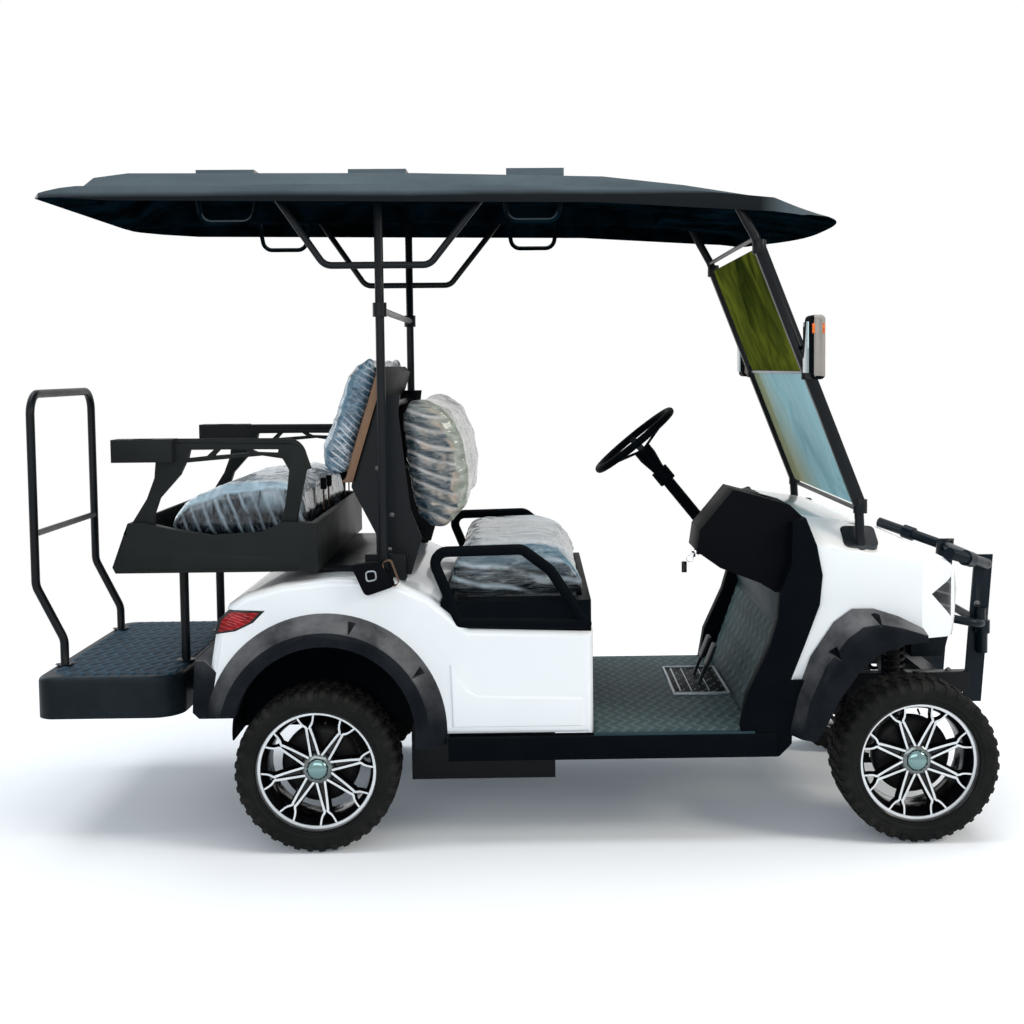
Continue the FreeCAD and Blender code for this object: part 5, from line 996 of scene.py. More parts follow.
def softened(node: str, finishes: Finish | Sequence[Finish], width: float = 0.0025,
             steps: int = 2, body: Body = Body.CART, choose: Chooser | None = None,
             shape: Shaper | None = None) -> bpy.types.Object:
    """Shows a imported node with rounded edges.

    Args:
        node: The node's name.
        finishes: Its finish, or several.
        width: Width of the rounding.
        steps: Segments of the rounding.
        body: The body that it rides on.
        choose: Turns a face's middle and normal into the number of its finish.
        shape: Changes the copied mesh before its edges are rounded.

    Returns:
        The piece that stands for the node.
    """
    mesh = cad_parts[node].data.copy()
    mesh.name = node + "_skin"
    work = bmesh.new()
    work.from_mesh(mesh)
    bmesh.ops.remove_doubles(work, verts=work.verts, dist=PACKED_MERGE)
    bmesh.ops.dissolve_limit(work, angle_limit=math.radians(FLAT_DEG), verts=work.verts, edges=work.edges)
    bmesh.ops.recalc_face_normals(work, faces=work.faces)
    if shape:
        shape(work)
    limit = math.radians(ROUND_DEG)
    edges = [e for e in work.edges if len(e.link_faces) == 2 and e.calc_face_angle(0.0) > limit
             and e.calc_length() > width * 0.5]
    bmesh.ops.bevel(work, geom=edges, offset=width, segments=steps, profile=ARC, affect="EDGES",
                    clamp_overlap=True, harden_normals=False)
    work.to_mesh(mesh)
    work.free()
    for face in mesh.polygons:
        face.use_smooth = True
        face.material_index = choose(face.center, face.normal) if choose else 0
    mesh.set_sharp_from_angle(angle=math.radians(PACKED_CREASE_DEG))
    kinds = [finishes] if isinstance(finishes, Finish) else list(finishes)
    return show(node + "_piece", mesh, body, kinds, [node])


# Radii and widths of the tyre's section, from its bead to its crown.
CARCASS = 0.2530
TYRE_HALF = ((0.1895, 0.0800), (0.1915, 0.0905), (0.1955, 0.0962), (0.1985, 0.0966), (0.2015, 0.0955),
             (0.2075, 0.0985), (0.2105, 0.1002), (0.2135, 0.1003), (0.2150, 0.0993), (0.2230, 0.1004),
             (0.2320, 0.1000), (0.2430, 0.0975), (0.2500, 0.0925), (CARCASS, 0.0820),
             (CARCASS + 0.0008, 0.045))
# Radii and widths of the rim's section, and the points at which its bright ring starts.
RIM_PROFILE = ((0.170, -0.093), (0.1935, -0.093), (0.1935, -0.088), (0.186, -0.086), (0.182, -0.076),
               (0.172, -0.060), (0.172, 0.020), (0.182, 0.050), (0.1890, 0.066), (0.1895, 0.0862),
               (0.1925, 0.0872), (0.1938, 0.0895), (0.1932, 0.0925), (0.1905, 0.0938), (0.1885, 0.0925),
               (0.1878, 0.0890), (0.1874, 0.0800), (0.1868, 0.0764), (0.1785, 0.0758), (0.1770, 0.0735),
               (0.1745, 0.0600), (0.1680, 0.0480), (0.162, 0.018), (0.162, -0.058), (0.168, -0.070))
RIM_BRIGHT = (17, 18)
# A spoke's two ribs and the fork beyond them, as radius, sideways offset and width of the bright face.
RIB_LINE = ((0.042, 0.0132, 0.0070), (0.075, 0.0110, 0.0070), (0.105, 0.0088, 0.0072),
            (0.128, 0.0066, 0.0076), (0.138, 0.0050, 0.0080))
FORK_LINE = ((0.133, 0.0030, 0.0074), (0.1415, 0.0075, 0.0070), (0.148, 0.0140, 0.0062),
             (0.158, 0.0195, 0.0056), (0.181, 0.0275, 0.0056))
# Radii and widths of the hub, the brake drum and the bright cap.
HUB_PROFILE = ((0.0005, 0.030), (0.062, 0.030), (0.058, 0.046), (0.052, 0.0535), (0.0005, 0.0545))
DRUM_PROFILE = ((0.0005, -0.004), (0.100, -0.004), (0.118, -0.010), (0.1255, -0.018), (0.1255, -0.034),
                (0.121, -0.036), (0.1255, -0.038), (0.1255, -0.0435), (0.0005, -0.0435))
CAP_PROFILE = ((0.0345, 0.056), (0.0345, 0.0615), (0.0325, 0.0665), (0.0270, 0.0712), (0.0190, 0.0742),
               (0.0100, 0.0756), (0.0004, 0.0760))
# Outlines of the tread's blocks, as run round the tread and width.
CENTRE_BLOCK = ((0.002, -0.013), (0.020, -0.017), (0.034, -0.009), (0.036, 0.009), (0.017, 0.015),
                (0.004, 0.007))
SIDE_BLOCK = ((0.003, 0.0215), (0.021, 0.0195), (0.034, 0.034), (0.033, 0.051), (0.017, 0.052),
              (0.012, 0.038))


@dataclass
class Wheel:
    """One wheel: an all-terrain tyre on a gloss black rim with eight forked, machined spokes."""

    end: str
    side: str
    outer: float = 0.26
    lug_base: float = 0.2505
    pitches: int = 40
    draft: float = 0.86
    spokes: int = 8
    ring: float = 0.184
    hub: float = 0.047
    tyre_steps: int = 120
    rim_steps: int = 96
    hub_steps: int = 48
    cap_steps: int = 40
    bolts: int = 8

    def on_drum(self, run: float, y: float, radius: float) -> Vector:
        """Gives the point at a run round the tread, a width and a radius."""
        angle = run / self.outer
        return Vector((radius * math.sin(angle), y, radius * math.cos(angle)))

    def crown(self, y: float) -> float:
        """Gives the tread's radius at a width."""
        return self.outer - 0.003 * (abs(y) / 0.092) ** 2

    def lug(self, skin: Skin, run: float, outline: Sequence[Flat]) -> None:
        """Adds one tread block.

        Args:
            skin: The mesh that it goes into.
            run: Where its pitch starts.
            outline: Its corners as run and width.
        """
        foot = [self.on_drum(run + s, y, self.lug_base) for s, y in outline]
        neck = [self.on_drum(run + s * 0.3 + t * 0.7, y * 0.3 + w * 0.7, self.crown(w) - 0.0015)
                for (s, y), (t, w) in zip(outline, scaled(outline, self.draft))]
        top = [self.on_drum(run + s, y, self.crown(y)) for s, y in scaled(outline, self.draft - 0.1)]
        skin.rows([foot, neck, top], ring=True, caps=True)

    def shoulder(self, skin: Skin, run: float, sign: int, deep: bool) -> None:
        """Adds one shoulder lug that turns down the sidewall.

        Args:
            skin: The mesh that it goes into.
            run: Where it starts.
            sign: Which side of the tyre.
            deep: Whether it is one of the long ones.
        """
        stations = [(0.0555, 0.2572), (0.078, 0.2580), (0.0905, 0.2562), (0.0985, 0.2490), (0.1015, 0.2405)]
        stations.append((0.1018, 0.2290) if deep else (0.1016, 0.2375))
        width = 0.0235 if deep else 0.0205
        rows = []
        for y, radius in stations:
            inward = 0.006 if y < 0.095 else 0.0022
            foot_y = y if y < 0.095 else y - 0.0032
            foot_r = radius - inward - (0.004 if y < 0.095 else 0.0)
            row = [(0.0, foot_y, foot_r), (0.0022, y, radius - 0.001), (0.0045, y, radius),
                   (width - 0.0045, y, radius), (width - 0.0022, y, radius - 0.001), (width, foot_y, foot_r)]
            rows.append([self.on_drum(run + s, sign * w, r) for s, w, r in row])
        skin.rows(rows, ring=True, caps=True)

    def tyre(self) -> Skin:
        """Builds the tyre about the origin, with its outer face towards +Y."""
        profile = [(r, -y) for r, y in TYRE_HALF] + [(CARCASS + 0.001, 0.0)] + list(reversed(TYRE_HALF))
        skin = Skin().lathe(profile + [profile[0]], self.tyre_steps, look=1)
        step = math.tau * self.outer / self.pitches
        tread = Skin()
        for k in range(self.pitches):
            run = k * step
            self.lug(tread, run, CENTRE_BLOCK)
            for sign in SIGNS:
                shift = 0.0 if sign > 0 else step / 2
                self.lug(tread, run + shift, [(s, sign * y) for s, y in SIDE_BLOCK])
                self.shoulder(tread, run + shift + 0.004, sign, k % 2 == 0)
        return skin.join(tread)

    def face_y(self, radius: float) -> float:
        """Gives the width at which the spokes' face lies at a radius."""
        share = (radius - self.hub) / (self.ring - self.hub)
        return 0.056 + 0.0188 * max(0.0, share) ** 1.3

    def bar(self, skin: Skin, line: Sequence[Point], depth: float) -> None:
        """Adds a machined bar with black flanks.

        Args:
            skin: The mesh that it goes into.
            line: Its middle line, as radius, sideways offset and width of the bright face.
            depth: Depth of its flanks.
        """
        rows = []
        for i, (r, t, width) in enumerate(line):
            ahead = line[min(i + 1, len(line) - 1)]
            behind = line[max(i - 1, 0)]
            along = Vector((ahead[0] - behind[0], ahead[1] - behind[1])).normalized()
            across = Vector((-along.y, along.x))
            y = self.face_y(r)
            row = []
            for offset, drop in ((-1.3, depth), (-0.62, 0.0016), (-0.5, 0.0), (0.5, 0.0), (0.62, 0.0016),
                                 (1.3, depth)):
                row.append((t + across.y * offset * width, y - drop, r + across.x * offset * width))
            rows.append(row)
        base = len(skin.faces)
        skin.rows(rows, ring=True, caps=True)
        for i in range(len(rows) - 1):
            skin.looks[base + i * len(rows[0]) + 2] = 1

    def rim(self) -> Skin:
        """Builds the rim about the origin, with its outer face towards +Y."""
        skin = Skin().lathe((*RIM_PROFILE, RIM_PROFILE[0]), self.rim_steps)
        for i in range(self.rim_steps):
            for j in RIM_BRIGHT:
                skin.looks[i * len(RIM_PROFILE) + j] = 1
        spoke = Skin()
        for sign in SIGNS:
            for line, depth in ((RIB_LINE, 0.026), (FORK_LINE, 0.020)):
                self.bar(spoke, [(r, sign * t, w) for r, t, w in line], depth)
        spoke.rows([[(-w, self.face_y(r) - d, r), (w, self.face_y(r) - d, r),
                     (w, self.face_y(r) - d - 0.016, r), (-w, self.face_y(r) - d - 0.016, r)]
                    for r, d, w in ((0.040, 0.010, 0.012), (0.110, 0.010, 0.008), (0.132, 0.006, 0.005))],
                   ring=True, caps=True)
        for k in range(self.spokes):
            skin.join(spoke, Matrix.Rotation(math.tau * (k + 0.5) / self.spokes, 4, "Y"))
        skin.join(Skin().lathe(HUB_PROFILE, self.hub_steps))
        turns = [math.tau * (k + 0.5) / 8 for k in range(8)]
        eight = [(0.0475 * math.sin(a), 0.0475 * math.cos(a)) for a in turns]
        skin.rows([[(x * s, y, z * s) for x, z in eight] for s, y in
                   ((1.0, 0.050), (1.0, 0.0585), (0.93, 0.0610), (0.76, 0.0625), (0.70, 0.0600))],
                  ring=True, look=4)
        skin.lathe(list(reversed(CAP_PROFILE)), self.cap_steps, look=2)
        for k in range(self.bolts):
            spin = Matrix.Rotation(math.tau * k / self.bolts, 4, "Y")
            skin.join(Skin().dome((0.0, 0.0525, 0.0535), (0, 1, 0), 0.0042, 0.004, 6, 2, look=3), spin)
        skin.lathe(DRUM_PROFILE, self.hub_steps, look=3)
        skin.join(Skin().tube([(0, 0.062, 0.166), (0, 0.074, 0.160), (0, 0.084, 0.157)], 0.0035, 10))
        return skin

    def build(self) -> None:
        """Places the tyre and the rim on their wheel's body."""
        sign = SIDES[self.side]
        x = FRONT_AXLE_X if self.end == "front" else REAR_AXLE_X
        turn = 0.0 if self.end == "front" else 0.2
        place = (Matrix.Translation((x, sign * WHEEL_Y, AXLE_Z)) @ Matrix.Scale(sign, 4, (0, 1, 0))
                 @ Matrix.Rotation(turn, 4, "Y"))
        label = f"{self.end}_{self.side}"
        body = Body(f"{self.end}_wheel_{self.side}")
        tyre = Skin().join(self.tyre(), place)
        show(f"tyre_{label}", tyre.mesh(f"tyre_{label}"), body, [Kit.tread, Kit.wall],
             [f"{self.end}_tyre_{self.side}"])
        rim = Skin().join(self.rim(), place)
        show(f"rim_{label}", rim.mesh(f"rim_{label}"), body,
             [Kit.rim, Kit.bright, Kit.cap, Kit.axle, Kit.cap_base],
             [f"{self.end}_rim_{self.side}"])


@dataclass
class WrappedPad:
    """A seat pad of dark vinyl that is still in its clear, crumpled wrapping."""

    name: str
    node: str
    body: Body
    outline: list[Flat]
    half_width: float
    finish: WrappedVinyl
    swell: float = 0.016
    puffs: float = 0.0
    folds: float = 0.0030
    grain: Point = (7.0, 5.0, 16.0)
    voxel: float = 0.010
    pressure: float = 4.0
    frames: int = 20
    fill: float = 0.85

    def blank(self) -> bpy.types.Mesh:
        """Makes the slightly smaller block that is blown up."""
        count = len(self.outline)
        middle = (sum(p[0] for p in self.outline) / count, sum(p[1] for p in self.outline) / count)
        inset = self.swell * 0.9
        ring = []
        for x, z in self.outline:
            away = Vector((x - middle[0], z - middle[1]))
            away *= max(0.2, 1 - inset / max(away.length, 1e-6))
            ring.append((middle[0] + away.x, middle[1] + away.y))
        half = self.half_width - inset
        return Skin().slab(ring, -half, half).mesh(self.name, 0.026, 20.0, 4)

    def blow_up(self, piece: bpy.types.Object) -> None:
        """Remeshes the blank and inflates it as cloth, with a cap on how far a point moves."""
        remesh = piece.modifiers.new("even", "REMESH")
        remesh.mode = "VOXEL"
        remesh.voxel_size = self.voxel
        apply_modifier(piece, remesh)
        rest = [v.co.copy() for v in piece.data.vertices]
        cloth = piece.modifiers.new("cloth", "CLOTH")
        cloth.settings.use_pressure = True
        cloth.settings.uniform_pressure_force = self.pressure
        cloth.settings.effector_weights.gravity = 0.0
        cloth.point_cache.frame_start, cloth.point_cache.frame_end = 1, self.frames
        for step in range(1, self.frames + 1):
            bpy.context.scene.frame_set(step)
        apply_modifier(piece, cloth)
        bpy.context.scene.frame_set(1)
        for vertex, start in zip(piece.data.vertices, rest):
            move = vertex.co - start
            if move.length > self.swell:
                vertex.co = start + move.normalized() * self.swell
        smooth = piece.modifiers.new("fine", "SUBSURF")
        smooth.levels = smooth.render_levels = 1
        apply_modifier(piece, smooth)

    def crumple(self, mesh: bpy.types.Mesh) -> None:
        """Presses folds of the wrapping, and the puffs of its gathered sides, into the surface."""
        normals = [v.normal.copy() for v in mesh.vertices]
        gather, facing = Vector(self.finish.gather), Vector(self.finish.facing)
        for vertex, normal in zip(mesh.vertices, normals):
            p = vertex.co
            stretch = Vector((p.x * self.grain[0], p.y * self.grain[1], p.z * self.grain[2]))
            turn = noise.noise_vector(stretch * 0.5) * 0.8
            ridge = 1 - abs(noise.noise(stretch + turn)) * 2.6
            small = 1 - abs(noise.noise(stretch * 2.3 + turn * 2)) * 2.4
            lift = max(0.0, ridge) ** 2 * self.folds + max(0.0, small) ** 2 * self.folds * 0.45
            if self.puffs:
                side = 1 - min(1.0, max(0.0, (normal.dot(facing) - 0.05) / 0.5))
                warp = 0.006 * math.sin(p.x * 31 + p.y * 17 + p.z * 9)
                wave = abs(math.sin((p.dot(gather) + warp) * math.pi / self.finish.pitch))
                lift += side * self.puffs * (wave ** 0.6 - 0.7)
            vertex.co = p + normal * (lift - self.folds * 0.5)

    def build(self) -> None:
        """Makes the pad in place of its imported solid."""
        piece = show(self.name, self.blank(), self.body, [self.finish], [self.node])
        self.blow_up(piece)
        self.crumple(piece.data)
        for face in piece.data.polygons:
            face.use_smooth = True


def apply_modifier(piece: bpy.types.Object, modifier: bpy.types.Modifier) -> None:
    """Applies a modifier to its mesh and takes it off.

    Args:
        piece: The object.
        modifier: Its modifier.
    """
    bpy.context.view_layer.update()
    ready = piece.evaluated_get(bpy.context.evaluated_depsgraph_get())
    made = bpy.data.meshes.new_from_object(ready)
    for finish in piece.data.materials:
        if finish.name not in made.materials:
            made.materials.append(finish)
    piece.modifiers.remove(modifier)
    piece.data = made


@dataclass
class Seats:
    """The four wrapped pads of the two benches, whose folds are drawn from a fixed seed."""

    seed: int = 7

    def build(self) -> None:
        """Makes the pads."""
        noise.seed_set(self.seed)
        pads = (
            WrappedPad("front_backrest_pad", "front_backrest", Body.CART,
                       [(-0.375, 1.440), (-0.311, 1.459), (-0.248, 1.423), (-0.186, 1.295), (-0.166, 1.166),
                        (-0.180, 1.053), (-0.231, 0.983), (-0.302, 0.983), (-0.354, 1.168)],
                       0.473, Kit.front_pad, 0.020, 0.007),
            WrappedPad("front_cushion_pad", "front_cushion", Body.FRONT_SEAT,
                       [(-0.250, 0.791), (0.224, 0.791), (0.222, 0.830), (0.190, 0.888), (0.150, 0.924),
                        (0.073, 0.946), (-0.156, 0.940), (-0.218, 0.930), (-0.235, 0.880)],
                       0.488, Kit.bench_pad, 0.016, 0.003, 0.003, (5.0, 4.0, 22.0)),
            WrappedPad("rear_backrest_pad", "rear_backrest", Body.CART,
                       [(-0.462, 1.590), (-0.533, 1.515), (-0.583, 1.395), (-0.627, 1.267), (-0.633, 1.187),
                        (-0.597, 1.163), (-0.556, 1.172), (-0.521, 1.298), (-0.478, 1.426), (-0.446, 1.537)],
                       0.473, Kit.rear_pad, 0.014, 0.002),
            WrappedPad("rear_cushion_pad", "rear_cushion", Body.REAR_SEAT,
                       [(-1.136, 0.993), (-0.672, 0.993), (-0.667, 1.060), (-0.680, 1.135), (-0.735, 1.163),
                        (-0.845, 1.163), (-0.960, 1.150), (-1.085, 1.095), (-1.134, 1.045)],
                       0.478, Kit.rear_bench_pad, 0.014, 0.0018, 0.003, (16.0, 5.0, 5.0)),
        )
        for pad in pads:
            pad.build()


@dataclass
class Belts:
    """The belt retractors beside the brackets and the rear belts' tongues, outlined from the side."""

    case: tuple[Flat, ...] = ((-0.5255, 0.914), (-0.4815, 0.814), (-0.3865, 0.846), (-0.4325, 0.922))
    latch: tuple[Flat, ...] = ((-0.478, 0.893), (-0.448, 0.896), (-0.445, 0.868), (-0.475, 0.862))
    loop: tuple[Flat, ...] = ((-0.430, 0.919), (-0.402, 0.930), (-0.376, 0.856), (-0.392, 0.842))
    webbing: float = 0.0016

    def build(self) -> None:
        """Makes the retractors with their latches and webbing, and the rear buckles."""
        box, latch, strap = Skin(), Skin(), Skin()
        for sign in SIGNS:
            corners = rounded([(x, 0, z) for x, z in self.case], 0.018, 4, True)
            box.slab([(p.x, p.z) for p in corners], *span(sign, 0.563, 0.604))
            ring = rounded([(x, sign * 0.606, z) for x, z in self.latch], 0.010, 5, True)
            latch.tube(ring, 0.0028, 8, closed=True)
            loop = rounded([(x, sign * 0.584, z) for x, z in self.loop], 0.014, 5, True)
            strap.rows([[(p.x, p.y - 0.019, p.z), (p.x, p.y + 0.019, p.z)] for p in loop], loop=True)
            for y in (sign * 0.20, sign * 0.31):
                box.join(Skin().block((-0.657, y - 0.016, 1.128), (-0.639, y + 0.016, 1.166)))
                strap.rows([[(-0.6490, y - 0.014, z), (-0.6490, y + 0.014, z)] for z in (1.060, 1.128)])
        box.show("belt_retractors", Kit.dash, Slot.BLACK_PLASTIC, 0.003, 40.0)
        latch.show("belt_latches", Kit.zinc, Slot.AXLE_STEEL)
        webbing = strap.show("belt_webbing", Kit.strap, Slot.SEAT_BOARD)
        thicken = webbing.modifiers.new("thick", "SOLIDIFY")
        thicken.thickness = self.webbing
        thicken.offset = 0.0
        apply_modifier(webbing, thicken)


@dataclass
class Ignition:
    """The key switch under the dash, with its key and fob."""

    y: float = 0.10

    def build(self) -> None:
        """Makes the switch and the key."""
        metal, black = Skin(), Skin()
        black.tube([(0.668, self.y, 0.862), (0.640, self.y, 0.849)], 0.016, 24)
        metal.tube([(0.642, self.y, 0.850), (0.636, self.y, 0.847)], 0.0125, 24)
        metal.block((0.6165, self.y - 0.0015, 0.828), (0.6370, self.y + 0.0015, 0.850))
        ring = [(0.6165 + 0.012 * math.cos(a), self.y, 0.822 + 0.012 * math.sin(a))
                for a in (math.tau * k / 20 for k in range(20))]
        metal.tube(ring, 0.0011, 6, closed=True)
        fob = [(x, self.y + across, 0) for x, across in ((0.586, -0.006), (0.605, -0.006), (0.605, 0.006),
                                                         (0.586, 0.006))]
        black.plate([(p.x, p.y) for p in rounded(fob, 0.004, 4, True)], 0.772, 0.812)
        metal.show("key_metal", Kit.chrome, Slot.AXLE_STEEL, 0.0005)
        black.show("key_switch", Kit.gloss, Slot.BLACK_PLASTIC, 0.0015, 40.0)


@dataclass
class Coils:
    """The coil springs round the front dampers."""

    radius: float = 0.030
    wire: float = 0.0052
    turns: int = 6
    steps: int = 20
    y: float = 0.291
    low: float = 0.440
    height: float = 0.140

    def build(self) -> None:
        """Winds the coils."""
        skin = Skin()
        for sign in SIGNS:
            path = []
            count = self.turns * self.steps
            for k in range(count + 1):
                a = math.tau * k / self.steps
                path.append((FRONT_AXLE_X + self.radius * math.cos(a),
                             sign * self.y + self.radius * math.sin(a), self.low + self.height * k / count))
            skin.tube(path, self.wire, 8)
        skin.show("damper_coils", Kit.axle, Slot.AXLE_STEEL)


@dataclass
class Mats:
    """The waved rubber mats on the floor, the toe board and the footrest deck."""

    pitch: float = 0.040
    step: float = 0.008
    rise: float = 0.0036
    bend: float = 0.012
    swing: float = 0.085
    edge: float = -0.001
    base: float = 0.0022
    floor_top: float = 0.363
    floor_length: Flat = (0.236, 0.742)
    floor_half: float = 0.562
    toe: Point = (0.7445, 0.110, 0.310)
    toe_half: float = 0.500
    deck_half: float = 0.462
    corner: float = 0.075

    def height(self, x: float, y: float) -> float:
        """Gives the mat's wave at a point."""
        bend = self.bend * math.sin(y * math.tau / self.swing)
        wave = math.sin((x + bend) * math.tau / self.pitch)
        return self.rise * max(0.0, wave) ** 0.7

    def sheet(self, skin: Skin, lengths: Flat, half: float, lay: Callable[[float, float, float], Point],
              pull: Callable[[float], float] | None = None) -> None:
        """Adds one mat.

        Args:
            skin: The mesh that it goes into.
            lengths: Its span along the cart.
            half: Half its width.
            lay: Turns a run, a width and a height into a point.
            pull: Gives how far its sides are drawn in at a run.
        """
        count = round((lengths[1] - lengths[0]) / self.step)
        across = round(2 * half / (self.step * 1.6))
        rows = []
        for i in range(count + 1):
            x = lengths[0] + (lengths[1] - lengths[0]) * i / count
            drawn = pull(x) if pull else 0.0
            row = []
            for j in range(across + 1):
                y = drawn - half + (2 * half - 2 * drawn) * j / across
                edge = i in (0, count) or j in (0, across)
                row.append(lay(x, y, self.edge if edge else self.base + self.height(x, y)))
            rows.append(row)
        skin.rows(rows)

    def build(self) -> None:
        """Makes the mats over the floor and the deck."""
        floor = Skin()
        top = self.floor_top
        self.sheet(floor, self.floor_length, self.floor_half, lambda x, y, h: (x, y, top + h))
        foot, run, rise = self.toe
        length = math.hypot(run, rise)
        along = (run / length, rise / length)
        self.sheet(floor, (0.012, length - 0.014), self.toe_half,
                   lambda s, y, h: (foot + along[0] * s - along[1] * h, y, top + along[1] * s + along[0] * h))
        floor.show("floor_mat", Kit.mat, Slot.BLACK_PLASTIC)
        deck = Skin()
        low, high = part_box("footrest_deck")
        start = low[0] + 0.030
        self.sheet(deck, (start, high[0] - 0.020), self.deck_half, lambda x, y, h: (x, y, high[2] + h),
                   lambda x: self.corner * max(0.0, 1 - (x - start) / self.corner) ** 2)
        deck.show("deck_mat", Kit.deck_mat, Slot.BLACK_PLASTIC)


@dataclass
class Fasteners:
    """Domed bolt heads and their washers on brackets, feet and plates."""

    radius: float = 0.0055
    plate_radius: float = 0.0075
    bracket_y: float = 0.438
    bracket: tuple[Flat, ...] = ((-0.4555, 1.204), (-0.4105, 1.053), (-0.500, 1.330), (-0.420, 0.940))
    plate_y: float = 0.221
    plate: tuple[Flat, ...] = ((1.590, 0.842), (1.452, 0.400), (1.470, 0.470), (1.568, 0.700))

    def spots(self) -> list[tuple[Point, Point, float]]:
        """Lists each head's base, direction and size."""
        made: list[tuple[Point, Point, float]] = []
        for sign in SIGNS:
            for x, z in self.bracket:
                made.append(((x, sign * self.bracket_y, z), (0, sign, 0), self.radius))
            for x, z in self.plate:
                made.append(((x, sign * self.plate_y, z), (0, sign, 0), self.plate_radius))
            for dx in (-0.021, 0.021):
                made.append(((-1.5195 + dx, sign * 0.310 + dx * 0.6, 0.553), (0, 0, 1), self.radius))
        return made

    def build(self) -> None:
        """Makes the heads."""
        skin = Skin()
        for base, way, size in self.spots():
            up = Vector(way)
            foot = Vector(base)
            skin.dome(foot, up, size * 1.45, 0.0018, 16, 2)
            skin.dome(foot + up * 0.0014, up, size, size * 0.62, 14, 4)
        skin.show("bolt_heads", Kit.bolt, Slot.AXLE_STEEL)


@dataclass
class Lamps:
    """Head and tail lamps in the corners of the bodywork."""

    tail: tuple[Flat, ...] = ((0.0, 0.0), (0.09, 0.6), (0.3, 1.0), (1.0, 0.94), (0.76, 0.45), (0.42, 0.12))

    def build(self) -> None:
        """Dresses the lamp nodes and sets the red lenses into their black surrounds."""
        softened("headlamps", [Kit.gloss, Kit.smoke], 0.004, 2,
                 choose=lambda middle, normal: int(abs(normal.y) > 0.25 or normal.x > 0.25))
        softened("tail_lamps", Kit.gloss, 0.003)
        outline = [(-0.9635 + 0.162 * x, 0.694 + 0.078 * z) for x, z in self.tail]
        lens, streak = Skin(), Skin()
        for sign in SIGNS:
            for skin, size, out, low in ((lens, 0.80, 0.5685, 0.0), (streak, 0.46, 0.5700, 0.004)):
                skin.slab(scaled(outline, size, low), *span(sign, 0.560, out))
        lens.show("tail_lenses", Kit.red, Slot.LAMP_RED, 0.0018)
        streak.show("tail_lens_ribs", Kit.red_rib, Slot.LAMP_RED, 0.0012)


@dataclass
class Windscreen:
    """The two tinted panes, their split moulding and their pillars."""

    def build(self) -> None:
        """Dresses the panes and the pillars."""
        softened("windshield_frame", [Kit.steel, Kit.foot], 0.002,
                 choose=lambda middle, normal: int(middle.z < 0.955))
        # The panes' colours are painted reflections.
        softened("windshield_glass", [Kit.pane_low, Kit.pane_high], 0.0012,
                 choose=lambda middle, normal: int(middle.z > 1.5))
        skin = Skin()
        skin.block((0.9110, -0.528, 1.4955), (0.9260, 0.528, 1.5045))
        skin.show("split_moulding", Kit.zinc, Slot.FRAME_BLACK, 0.002)


@dataclass
class Mirrors:
    """The two outside mirrors."""

    @staticmethod
    def look(middle: Vector, normal: Vector) -> int:
        """Gives 1 for the mirrors' pale shells and 0 for their faces and arms."""
        return int(middle.z > 1.49 and abs(middle.y) > 0.6 and normal.x > -0.35)

    def build(self) -> None:
        """Dresses the mirrors and adds their glasses and amber markers."""
        softened("mirrors", [Kit.grain, Kit.shell], 0.004, choose=self.look)
        low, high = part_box("mirrors")
        glass, marker = Skin(), Skin()
        for sign in SIGNS:
            y_low, y_high = span(sign, 0.634, 0.708)
            glass.block((low[0] - 0.0012, y_low, 1.500), (low[0] + 0.004, y_high, 1.656))
            y_low, y_high = span(sign, 0.700, 0.7245)
            marker.block((low[0] + 0.010, y_low, 1.618), (low[0] + 0.048, y_high, 1.650))
        glass.show("mirror_glass", Kit.mirror, Slot.LAMP_DARK, 0.001)
        marker.show("mirror_markers", Kit.amber, Slot.LAMP_RED, 0.003)


